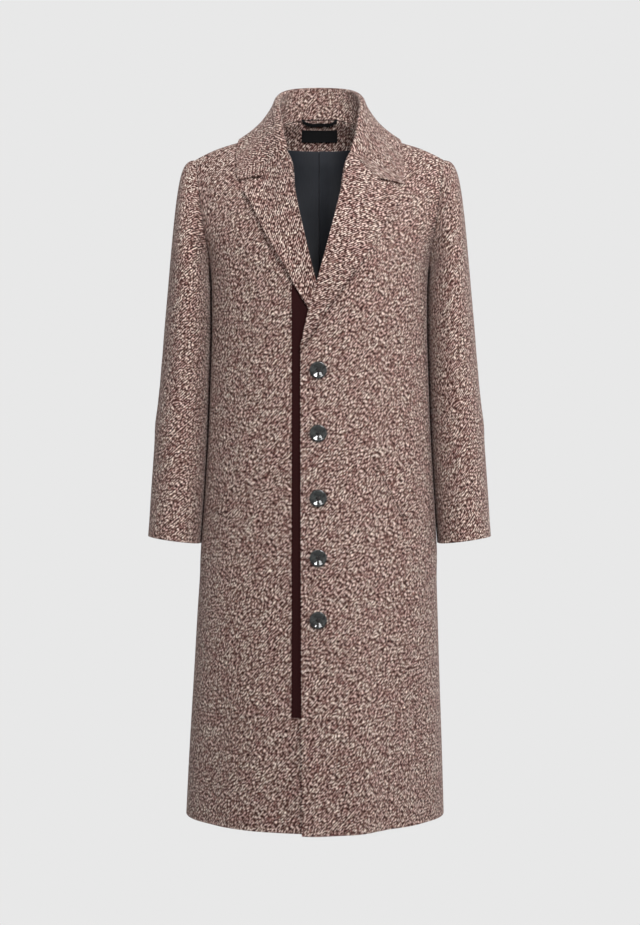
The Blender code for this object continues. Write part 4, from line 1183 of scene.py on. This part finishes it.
def make_sleeve(hand, part):
    """One piece of a sleeve, creased where the arm hangs."""
    mirror = MIRROR[hand]
    first_turn, last_turn, columns = SLEEVE_PARTS[part]
    step = (last_turn - first_turn) / (columns - 1)
    turns = np.linspace(first_turn, last_turn, columns)
    wide = sleeve_grid(first_turn - step, last_turn + step, columns + 2, CAP_ROWS, SLEEVE_ROWS)
    outer, normals = pull_in(wide[:, 1:-1], SEAM), grid_normals(wide)[:, 1:-1]
    outer[-1] += np.array((2 * SEAM, 0.0, 0.0))
    crease = np.array([[crease_swell(hand, turn, point[2]) for turn, point in zip(turns, row)]
                       for row in outer])
    crease[-SMOOTH_ROWS:] *= np.linspace(1.0, 0.0, SMOOTH_ROWS)[:, None]
    crease += np.array([[sleeve_swell(turn, point[2]) for turn, point in zip(turns, row)] for row in outer])
    outer = outer + normals * crease[:, :, None]
    inner = outer - normals * CLOTH
    across = run_across(outer)
    lined = (outer[:, :, 2] > SLEEVE[-1][0] + CUFF_TURN_UP)[:-1, :-1]
    if hand == "right":
        outer, inner = outer * (-1, 1, 1), inner * (-1, 1, 1)
    down = run_up(outer[::-1] * (1, 1, -1), (0, 1, 2))[::-1]
    places = np.stack((mirror * (across + 0.05 * first_turn), -down), axis=2)
    hand_piece("sleeve_" + hand + "_" + part, hand, outer, inner, places, face_out(hand, lined))


LAPEL_EDGE_LIFT = 0.0042
LAPEL_GRAIN = {"left": math.radians(-23), "right": math.radians(23)}


def make_lapel(hand):
    """One lapel, its grain along its own edge."""
    columns, rows = 25, 57
    spots = lapel_places(hand, columns, rows)
    outer = np.zeros(spots.shape[:2] + (3,))
    inner = outer.copy()
    for j, i in np.ndindex(outer.shape[:2]):
        x, height = spots[j, i]
        share = i / (columns - 1)
        gap = LAY_GAP + roll_lift(share, height) + LAPEL_EDGE_LIFT * ease(0.6, 1.0, share)
        thickness = FOLDED_CLOTH
        if hand == "right":
            thickness -= HIDDEN_THINNING * ease(-0.24, -0.30, height)
        inner[j, i] = on_front(hand, x, height, gap)
        outer[j, i] = on_front(hand, x, height, gap + thickness)
    hand_piece("lapel_" + hand, hand, outer, inner, on_grain(outer, LAPEL_GRAIN[hand]))


def make_collar():
    """The collar's turned-down fall and the stand inside it."""
    left, left_out = collar_profiles("left")
    right, right_out = collar_profiles("right")
    outer = pull_in(both_sides(left, right), SEAM)
    inner = outer - both_sides(left_out, right_out) * FOLDED_CLOTH
    outer, inner = refine(outer[::-1], FINER), refine(inner[::-1], FINER)
    places = run_both(outer)[:, :, ::-1] * (1, -1)
    cloth_wall("collar_fall_cloth", outer, inner, places, "twill", ["collar_fall"])
    left, left_away = stand_profiles("left")
    right, right_away = stand_profiles("right")
    grid = both_sides(left, right)[::-1]
    away = both_sides(left_away, right_away)[::-1]
    grid, back = refine(grid, FINER), refine(grid + away * STAND_CLOTH, FINER)
    places = run_both(grid)[:, :, ::-1] * (-1, 1)
    cloth_wall("collar_stand_cloth", grid, back, places, "twill", ["collar_stand"])


def front_patch(hand, spots, thickness):
    """Outer and inner points of a patch that lies on a front, from a grid of x and height."""
    return [np.array([[on_front(hand, x, height, out) for x, height in row] for row in spots])
            for out in (PATCH_GAP + thickness, PATCH_GAP)]


def make_welt(hand):
    """A slanted pocket welt."""
    top, bottom = np.array(WELT_TOP), np.array(WELT_BOTTOM)
    along = (top - bottom) / np.linalg.norm(top - bottom)
    across = np.array((along[1], -along[0]))
    rows, columns = 27, 9
    spots = np.zeros((rows, columns, 2))
    for j, i in np.ndindex(rows, columns):
        shift = across * WELT_WIDTH * (i / (columns - 1) - 0.5)
        spots[j, i] = bottom + (top - bottom) * j / (rows - 1) + shift
    outer, inner = front_patch(hand, spots * (MIRROR[hand], 1.0), WELT_CLOTH)
    hand_piece("welt_" + hand, hand, outer, inner, on_grain(outer, 0.0))


FACING_LOW = -0.0500


def make_facing():
    """The cloth facing inside the back neck."""
    outer, inner = back_patch(FACING_HALF, neck_seam, FACING_LOW, 49, 13, CLOTH + LAY_GAP, FACING_CLOTH)
    cloth_wall("back_facing_cloth", outer, inner, on_grain(outer, 0.0), "twill", ["back_facing"])


def make_label():
    """The bare woven label and the stitches along its ends."""
    outer, inner = back_patch(LABEL_HALF, lambda x: LABEL_TOP, LABEL_BOTTOM, 25, 9, LABEL_DEPTH, LABEL_CLOTH)
    cloth_wall("label_cloth", outer, inner, on_grain(outer, 0.0), "trim", ["label"])
    stitches = []
    depth = LABEL_DEPTH + LABEL_CLOTH
    for side in (-1.0, 1.0):
        x = side * (LABEL_HALF - 0.0015)
        for height in np.arange(LABEL_BOTTOM + 0.0012, LABEL_TOP - 0.002, 0.0024):
            stitches.append([lying_point(x, height + rise, "back", -depth - lift)
                             for rise, lift in ((0.0, 0.0), (0.0008, 0.0003), (0.0015, 0.0))])
    tubes("label_stitches", stitches, STITCH_RADIUS, "trim", "dark_thread")


def make_loop():
    """The hanger loop, a flat tape, with a bar of stitches at each end."""
    path = np.array(LOOP_PATH)
    outer, inner = [], []
    for k, (x, height) in enumerate(path):
        run = path[min(k + 1, len(path) - 1)] - path[max(k - 1, 0)]
        across = np.array((-run[1], run[0])) / np.linalg.norm(run)
        stand_off = LOOP_DEPTH + LOOP_SAG * (1 - (2 * k / (len(path) - 1) - 1) ** 2)
        row = []
        for side in (-0.5, 0.0, 0.5):
            px, pz = np.array((x, height)) + across * side * LOOP_WIDTH
            point = lying_point(px, min(pz, 0.0), "back", -stand_off)
            row.append(point + np.array((0.0, 0.0, max(pz, 0.0))))
        outer.append(row)
        inner.append([point - np.array((0.0, LOOP_CLOTH, 0.0)) for point in row])
    outer, inner = refine(np.array(outer), FINER), refine(np.array(inner), FINER)
    cloth_wall("hanger_loop_tape", outer, inner, run_both(outer), "trim", ["hanger_loop"])
    bars = []
    for side in (-1.0, 1.0):
        for k in range(5):
            x, height = side * 0.0305, 0.0016 - 0.0006 * k
            depth = -LOOP_DEPTH - LOOP_CLOTH - THREAD_LIFT
            bars.append([lying_point(x + side * shift, min(height, 0.0), "back", depth)
                         + np.array((0.0, 0.0, max(height, 0.0))) for shift in (-0.0018, 0.0, 0.0018)])
    tubes("loop_bar_stitches", bars, STITCH_RADIUS, "trim", "dark_thread")


def tubes(name, paths, radius, slot, finish, sides=6):
    """Short lengths of thread, as one piece."""
    points, faces = [], []
    for path in paths:
        path = np.array(path)
        start = len(points)
        for k, point in enumerate(path):
            run = path[min(k + 1, len(path) - 1)] - path[max(k - 1, 0)]
            run = run / np.linalg.norm(run)
            side = np.cross(run, (0.3, 0.9, 0.2))
            side /= np.linalg.norm(side)
            up = np.cross(run, side)
            for turn in np.arange(sides) * 2 * math.pi / sides:
                points.append(point + (side * math.cos(turn) + up * math.sin(turn)) * radius)
        for k in range(len(path) - 1):
            for s in range(sides):
                a, b = start + k * sides + s, start + k * sides + (s + 1) % sides
                faces.append((a, b, b + sides, a + sides))
        faces.append(tuple(range(start + sides - 1, start - 1, -1)))
        last = start + (len(path) - 1) * sides
        faces.append(tuple(range(last, last + sides)))
    return new_piece(name, points, faces, slot, [], finish)


TUCK_GAP = 0.0006
LINING_TOP_ROWS = 6
PLEAT_DEPTH = 0.0036
PLEAT_WIDTH = 0.020
PLEAT_RANGE = (-0.80, -0.62)
LINING_HEM = HEM + 0.025
LINING_SLACK = 0.004
SLACK_RANGE = (-0.17, -0.06)
LINING_SAG = 0.0016


def make_lining():
    """The back lining, pleated down its middle for ease."""
    halves = []
    for mirror in MIRROR.values():
        spots = back_places(LINING_COLUMNS)
        spots[:, :, 1] = np.maximum(spots[:, :, 1], HEM)
        low = spots[:, :, 1] < UNDERARM - SHORTEST
        stretch = (UNDERARM - LINING_HEM) / (UNDERARM - HEM)
        spots[:, :, 1] = np.where(low, UNDERARM + (spots[:, :, 1] - UNDERARM) * stretch, spots[:, :, 1])
        top = len(spots) - 1
        for i in range(LINING_COLUMNS):
            x = body_point(spots[top, i, 0], spots[top, i, 1], "back")[0]
            end = min(FACING_LOW - 2 * SEAM, ridge_height(x) - 0.008)
            drop = spots[top, i, 1] - end
            for j in range(SKIRT_ROWS, top + 1):
                spots[j, i, 1] -= drop * (j - SKIRT_ROWS + 1) / (top - SKIRT_ROWS + 1)
        grid = body_grid(spots, mirror, "back")
        halves.append((grid, unit(back_normals(grid, mirror))))
    (left, left_out), (right, right_out) = halves
    grid = np.concatenate((left[:, :0:-1], right), axis=1)
    normals = np.concatenate((left_out[:, :0:-1], right_out), axis=1)
    sink = np.zeros(grid.shape[:2])
    for j, i in np.ndindex(sink.shape):
        x, _, height = grid[j, i]
        slack = LINING_SLACK * ease(*SLACK_RANGE, height)
        pleat = PLEAT_DEPTH * ease(PLEAT_WIDTH, 0.0, abs(x)) * (x >= -SHORTEST) * ease(*PLEAT_RANGE, height)
        sag = LINING_SAG * math.sin(x * 70.0 + height * 9.0) * ease(-0.08, -0.20, height)
        sink[j, i] = CLOTH + LAY_GAP + slack + pleat + sag * ease(0.0, 0.03, abs(x)) + LINING_SAG
    sink -= np.array([[fold_swell("back", point[0], point[2]) for point in row] for row in grid])
    outer = pull_in(grid - normals * sink[:, :, None], 0.003)
    tucked = np.abs(outer[-1, :, 0]) < FACING_HALF
    rise = FACING_LOW - TUCK_GAP - outer[-1, :, 2]
    for j in range(LINING_TOP_ROWS):
        share = 1 - j / LINING_TOP_ROWS
        outer[-1 - j, tucked, 2] += rise[tucked] * share
    middle = LINING_COLUMNS - 1
    outer[:, middle + 1] = outer[:, middle] * 0.86 + outer[:, middle + 1] * 0.14
    outer[:, middle + 1, 1] += PLEAT_DEPTH * np.array([ease(*PLEAT_RANGE, z) for z in outer[:, middle, 2]])
    inner = outer - normals * LINING_CLOTH
    places = np.stack((outer[:, :, 0], outer[:, :, 2]), axis=2)
    cloth_wall("back_lining_satin", outer, inner, places, "lining", ["back_lining"])


def make_strip():
    """The plain dark strip down the lower front."""
    rows, columns = 60, 5
    spots = np.zeros((rows, columns, 2))
    for j, i in np.ndindex(rows, columns):
        share = i / (columns - 1)
        top = STRIP_TOPS[0] + (STRIP_TOPS[1] - STRIP_TOPS[0]) * share
        height = STRIP_END + (top - STRIP_END) * j / (rows - 1)
        spots[j, i] = (STRIP_LEFT + (STRIP_RIGHT - STRIP_LEFT) * share, height)
    outer, inner = front_patch("right", spots, STRIP_CLOTH)
    cloth_wall("front_strip_cloth", outer, inner, on_grain(outer, 0.0), "strip", ["front_strip"])


BUTTON_SHAPE = (
    (0.0, 0.0020), (0.0036, 0.0020), (0.0044, 0.0022), (0.0070, 0.0029), (0.0096, 0.0037), (0.0112, 0.0043),
    (0.0123, 0.0046), (0.0133, 0.0043), (0.0139, 0.0035), (0.0140, 0.0025), (0.0137, 0.0015),
    (0.0128, 0.0007), (0.0112, 0.0002), (0.0085, 0.0), (0.0, 0.0),
)
BUTTON_SIDES = 48
HOLE_RADIUS = 0.0011
HOLE_PLACE = 0.0024
THREAD_RADIUS = 0.00042
THREAD_SHIFT = 0.00035
THREAD_CROSSING = 0.0004
THREAD_PATH = ((-1.0, 0.0012), (-0.9, 0.0026), (0.0, 0.0030), (0.9, 0.0026), (1.0, 0.0012))


def turned_mesh(name, outline, sides):
    """A closed turned mesh about Z from an outline of radius and height, top to bottom."""
    points = [(0.0, 0.0, outline[0][1])]
    rings = []
    for radius, height in outline[1:-1]:
        rings.append(len(points))
        for k in range(sides):
            turn = 2 * math.pi * k / sides
            points.append((radius * math.cos(turn), radius * math.sin(turn), height))
    points.append((0.0, 0.0, outline[-1][1]))
    last = len(points) - 1
    faces = []
    for k in range(sides):
        after = (k + 1) % sides
        faces.append((0, rings[0] + k, rings[0] + after))
        for upper, lower in zip(rings, rings[1:]):
            faces.append((upper + k, lower + k, lower + after, upper + after))
        faces.append((last, rings[-1] + after, rings[-1] + k))
    mesh = bpy.data.meshes.new(name)
    mesh.from_pydata(points, [], faces)
    return mesh


def button_mesh():
    """A dished four-hole button with a raised rim."""
    blank = add_object("blank", turned_mesh("button_horn", BUTTON_SHAPE, BUTTON_SIDES))
    drills = []
    for k in range(4):
        turn = math.pi / 4 + math.pi / 2 * k
        place = (HOLE_PLACE * math.cos(turn), HOLE_PLACE * math.sin(turn), 0.002)
        bpy.ops.mesh.primitive_cylinder_add(vertices=20, radius=HOLE_RADIUS, depth=0.01, location=place)
        drill = bpy.context.object
        drills.append(drill)
        cut = blank.modifiers.new("hole", "BOOLEAN")
        cut.operation = "DIFFERENCE"
        cut.object = drill
    graph = bpy.context.evaluated_depsgraph_get()
    mesh = bpy.data.meshes.new_from_object(blank.evaluated_get(graph))
    for item in drills + [blank]:
        bpy.data.objects.remove(item, do_unlink=True)
    mesh.materials.clear()
    mesh.materials.append(finish_of("button"))
    mesh.shade_smooth()
    mesh.set_sharp_from_angle(angle=math.radians(40))
    return mesh


def button_seat(height, lift):
    """Where a button sits on the upper front, and the way it faces."""
    across = on_front("left", BUTTON_X + 0.01, height, 0.0) - on_front("left", BUTTON_X - 0.01, height, 0.0)
    up = on_front("left", BUTTON_X, height + 0.01, 0.0) - on_front("left", BUTTON_X, height - 0.01, 0.0)
    normal = Vector(np.cross(across, up)).normalized()
    seat = Vector(on_front("left", BUTTON_X, height, 0.0)) + normal * lift
    return seat, normal.to_track_quat("Z", "Y")


def make_buttons():
    """Five buttons with their crossed threads and worked buttonholes."""
    mesh = button_mesh()
    for number, (height, lift) in enumerate(BUTTONS, start=1):
        seat, turn = button_seat(height, lift)
        node = "button_%d" % number
        button = add_object(node + "_horn", mesh)
        button.location = seat
        button.rotation_mode = "QUATERNION"
        button.rotation_quaternion = turn
        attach(button, "root")
        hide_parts(node)
        threads = []
        reach = HOLE_PLACE * math.sqrt(0.5)
        for side in (-1.0, 1.0):
            for shift in (-THREAD_SHIFT, THREAD_SHIFT):
                path = []
                for share, rise in THREAD_PATH:
                    x, y = share * reach, side * share * reach
                    lift = rise + (THREAD_CROSSING * side if share == 0.0 else 0.0)
                    path.append(seat + turn @ Vector((x + shift * side, y - shift, lift)))
                threads.append(path)
        tubes(node + "_threads", threads, THREAD_RADIUS, "trim", "dark_thread", 8)
        make_buttonhole(number, height)


SLIT_HALF = 0.0175
SLIT_RISE = 0.0007
CROWN_LIFT = 0.00030
HOLE_STITCHES = 64


def make_buttonhole(number, height):
    """A worked buttonhole: short stitches standing all round a slit."""
    stitches = []
    for k in range(HOLE_STITCHES):
        turn = 2 * math.pi * k / HOLE_STITCHES
        side = math.copysign(1.0, math.sin(turn))
        x = SLIT_HALF * math.cos(turn)
        z = SLIT_RISE * side * min(1.0, abs(math.sin(turn)) * 5)
        spread_x = 0.0016 * math.cos(turn) if abs(math.cos(turn)) > 0.97 else 0.0
        spread_z = 0.0013 * side if abs(math.sin(turn)) > 0.15 else 0.0
        path = []
        for share, out in ((0.0, THREAD_LIFT), (0.5, CROWN_LIFT), (1.0, THREAD_LIFT)):
            place = (BUTTON_X + x + spread_x * share, height + z + spread_z * share)
            path.append(on_front("left", *place, out))
        stitches.append(path)
    tubes("buttonhole_%d" % number, stitches, 0.00026, "twill", "thread", 5)


def make_stage(stage):
    """A pale floor and surround, soft lights and the camera."""
    shell = bpy.data.meshes.new("studio")
    build_dome(shell, stage.surround_radius)
    surround = add_object("studio_surround", shell)
    surround.location = (0.0, 0.0, stage.floor_height)
    for ray in ("visible_diffuse", "visible_glossy", "visible_transmission", "visible_shadow"):
        setattr(surround, ray, False)
    paper = new_finish(
        "studio_paper", Roughness=1.0, Base_Color=(0.0, 0.0, 0.0, 1.0), Specular_IOR_Level=0.0,
        Emission_Color=(*stage.backdrop_colour, 1.0), Emission_Strength=1.0)
    shell.materials.append(paper[0])
    world = bpy.data.worlds.new("studio_air")
    bpy.context.scene.world = world
    world.use_nodes = True
    air = world.node_tree.nodes["Background"]
    air.inputs["Color"].default_value = (1.0, 1.0, 1.0, 1.0)
    air.inputs["Strength"].default_value = stage.air_light
    for name, place, size, power in LIGHTS:
        lamp = bpy.data.lights.new(name, "AREA")
        lamp.shape = "RECTANGLE"
        lamp.size, lamp.size_y = size
        lamp.energy = power * stage.lamp_light
        item = add_object(name, lamp)
        item.location = place
        item.rotation_euler = (Vector(LIT_POINT) - Vector(place)).to_track_quat("-Z", "Y").to_euler()
    lens = bpy.data.cameras.new("front_camera")
    lens.lens = stage.lens
    lens.sensor_width = 36.0
    camera = add_object("front_camera", lens)
    camera.location = (0.0008, -stage.camera_distance, stage.camera_height)
    camera.rotation_euler = (math.radians(90), 0.0, 0.0)
    bpy.context.scene.camera = camera
    bpy.context.scene.view_settings.view_transform = "Standard"


LIT_POINT = (0.0, 0.0, -0.58)
LIGHTS = (
    ("front_light", (0.85, -2.5, 1.40), (0.9, 0.9), 69.0),
    ("second_light", (-0.85, -2.8, 1.05), (0.8, 0.8), 18.0),
    ("left_light", (-2.2, -2.2, 0.3), (1.4, 2.4), 4.0),
    ("right_light", (2.9, -1.3, -0.3), (1.0, 2.0), 30.0),
    ("top_light", (0.0, 0.3, 2.2), (2.0, 1.6), 4.0),
    ("back_light", (0.5, 3.0, 0.4), (2.6, 2.2), 34.0),
)


def build_dome(mesh, radius):
    """A half ball with a flat bottom, seen from inside."""
    rings, sides = 16, 48
    points, faces = [], []
    for j in range(rings):
        lift = math.pi / 2 * j / rings
        for k in range(sides):
            turn = 2 * math.pi * k / sides
            reach = radius * math.cos(lift)
            points.append((reach * math.cos(turn), reach * math.sin(turn), radius * math.sin(lift)))
    points.append((0.0, 0.0, radius))
    for j in range(rings - 1):
        for k in range(sides):
            a, b = j * sides + k, j * sides + (k + 1) % sides
            faces.append((a, a + sides, b + sides, b))
    top = len(points) - 1
    for k in range(sides):
        faces.append(((rings - 1) * sides + k, top, (rings - 1) * sides + (k + 1) % sides))
    faces.append(tuple(range(sides)))
    mesh.from_pydata(points, [], faces)


def colour_setting(name, description, default):
    return bpy.props.FloatVectorProperty(name=name, description=description, default=default, size=3,
                                         min=0.0, max=1.0, subtype="COLOR")


def number_setting(name, description, default, **limits):
    return bpy.props.FloatProperty(name=name, description=description, default=default, **limits)


class OvercoatCloth(bpy.types.PropertyGroup):
    """Weave and colours of the cloths."""

    dark_yarn: colour_setting("Dark yarn", "Darkest flecks of the twill", (0.028, 0.008, 0.007))
    middle_yarn: colour_setting("Middle tone", "Middle tone of the twill", (0.180, 0.100, 0.083))
    light_yarn: colour_setting("Light yarn", "Lightest flecks of the twill", (0.74, 0.60, 0.545))
    lining_colour: colour_setting("Lining", "Slate satin of the lining", (0.029, 0.032, 0.040))
    strip_colour: colour_setting("Strip", "Plain strip beside the overlap", (0.024, 0.0055, 0.0055))
    trim_colour: colour_setting("Trim", "Label and hanger loop", (0.010, 0.010, 0.011))
    thread_colour: colour_setting("Thread", "Buttonhole thread", (0.055, 0.030, 0.028))
    wale_width: number_setting("Wale width", "Distance between wales", 0.0031,
                               min=0.001, max=0.01, unit="LENGTH")
    wale_angle: number_setting("Wale angle", "Slant of the wales above level", math.radians(49),
                               subtype="ANGLE")
    fleck_scale: number_setting("Fleck scale", "Flecks in each metre of cloth", 425.0, min=50.0, max=1200.0)


class OvercoatButtons(bpy.types.PropertyGroup):
    """Colours of the buttons."""

    dark_horn: colour_setting("Dark horn", "Darkest marbling", (0.004, 0.0045, 0.0044))
    light_horn: colour_setting("Light horn", "Lightest marbling", (0.060, 0.064, 0.062))
    thread_colour: colour_setting("Button thread", "Thread through the buttons", (0.018, 0.014, 0.014))


class OvercoatStage(bpy.types.PropertyGroup):
    """Surround, lights and camera."""

    backdrop_colour: colour_setting("Backdrop", "Pale surround", (0.807, 0.807, 0.807))
    surround_radius: number_setting("Surround radius", "Reach of the studio", 9.0, min=5.0, unit="LENGTH")
    floor_height: number_setting("Floor height", "Height of the studio floor", -1.45, unit="LENGTH")
    air_light: number_setting("Air light", "Even light from all round", 0.33, min=0.0)
    lamp_light: number_setting("Lamp light", "Share of the lamps' full power", 1.0, min=0.0)
    lens: number_setting("Lens", "Focal length in millimetres", 64.5, min=10.0)
    camera_distance: number_setting("Camera distance", "Distance in front", 2.8, min=0.5, unit="LENGTH")
    camera_height: number_setting("Camera height", "Height of the camera", -0.593, unit="LENGTH")


class OVERCOAT_OT_body(bpy.types.Operator):
    """Cuts the two fronts, the back and the pocket welts"""

    bl_idname = "overcoat.body"
    bl_label = "Fronts, back and pockets"

    def execute(self, context):
        for hand in ("left", "right"):
            make_front(hand)
            make_back(hand)
            make_welt(hand)
        return {"FINISHED"}


class OVERCOAT_OT_sleeves(bpy.types.Operator):
    """Cuts the upper and under pieces of both sleeves"""

    bl_idname = "overcoat.sleeves"
    bl_label = "Sleeves"

    def execute(self, context):
        for hand in ("left", "right"):
            for part in SLEEVE_PARTS:
                make_sleeve(hand, part)
        return {"FINISHED"}


class OVERCOAT_OT_collar(bpy.types.Operator):
    """Folds the lapels and the collar"""

    bl_idname = "overcoat.collar"
    bl_label = "Lapels and collar"

    def execute(self, context):
        make_lapel("left")
        make_lapel("right")
        make_collar()
        return {"FINISHED"}


class OVERCOAT_OT_inside(bpy.types.Operator):
    """Sews in the lining, facing, label, hanger loop and front strip"""

    bl_idname = "overcoat.inside"
    bl_label = "Lining and inside trims"

    def execute(self, context):
        make_lining()
        make_facing()
        make_label()
        make_loop()
        make_strip()
        return {"FINISHED"}


class OVERCOAT_OT_buttons(bpy.types.Operator):
    """Sews on the buttons and works their holes"""

    bl_idname = "overcoat.buttons"
    bl_label = "Buttons"

    def execute(self, context):
        make_buttons()
        return {"FINISHED"}


class OVERCOAT_OT_stage(bpy.types.Operator):
    """Sets the surround, the lights and the camera"""

    bl_idname = "overcoat.stage"
    bl_label = "Studio"

    def execute(self, context):
        make_stage(context.scene.overcoat_stage)
        return {"FINISHED"}


class OVERCOAT_PT_panel(bpy.types.Panel):
    """Settings and steps of the overcoat"""

    bl_idname = "OVERCOAT_PT_panel"
    bl_label = "Overcoat"
    bl_space_type = "VIEW_3D"
    bl_region_type = "UI"
    bl_category = "Overcoat"

    def draw(self, context):
        layout = self.layout
        for step in STEPS:
            layout.operator(step.bl_idname)
        for settings in SETTINGS:
            group = getattr(context.scene, settings)
            for name in group.bl_rna.properties.keys():
                if name not in ("rna_type", "name"):
                    layout.prop(group, name)


SETTINGS = {
    "overcoat_cloth": OvercoatCloth,
    "overcoat_buttons": OvercoatButtons,
    "overcoat_stage": OvercoatStage,
}
STEPS = (
    OVERCOAT_OT_stage,
    OVERCOAT_OT_body,
    OVERCOAT_OT_sleeves,
    OVERCOAT_OT_collar,
    OVERCOAT_OT_inside,
    OVERCOAT_OT_buttons,
)


def register():
    for name, settings in SETTINGS.items():
        bpy.utils.register_class(settings)
        setattr(bpy.types.Scene, name, bpy.props.PointerProperty(type=settings))
    for kind in STEPS + (OVERCOAT_PT_panel,):
        bpy.utils.register_class(kind)


def unregister():
    for kind in reversed(STEPS + (OVERCOAT_PT_panel,)):
        bpy.utils.unregister_class(kind)
    for name, settings in reversed(SETTINGS.items()):
        delattr(bpy.types.Scene, name)
        bpy.utils.unregister_class(settings)


def main():
    register()
    bpy.ops.overcoat.stage()
    bpy.ops.overcoat.body()
    bpy.ops.overcoat.sleeves()
    bpy.ops.overcoat.collar()
    bpy.ops.overcoat.inside()
    bpy.ops.overcoat.buttons()


if __name__ == "__main__":
    main()
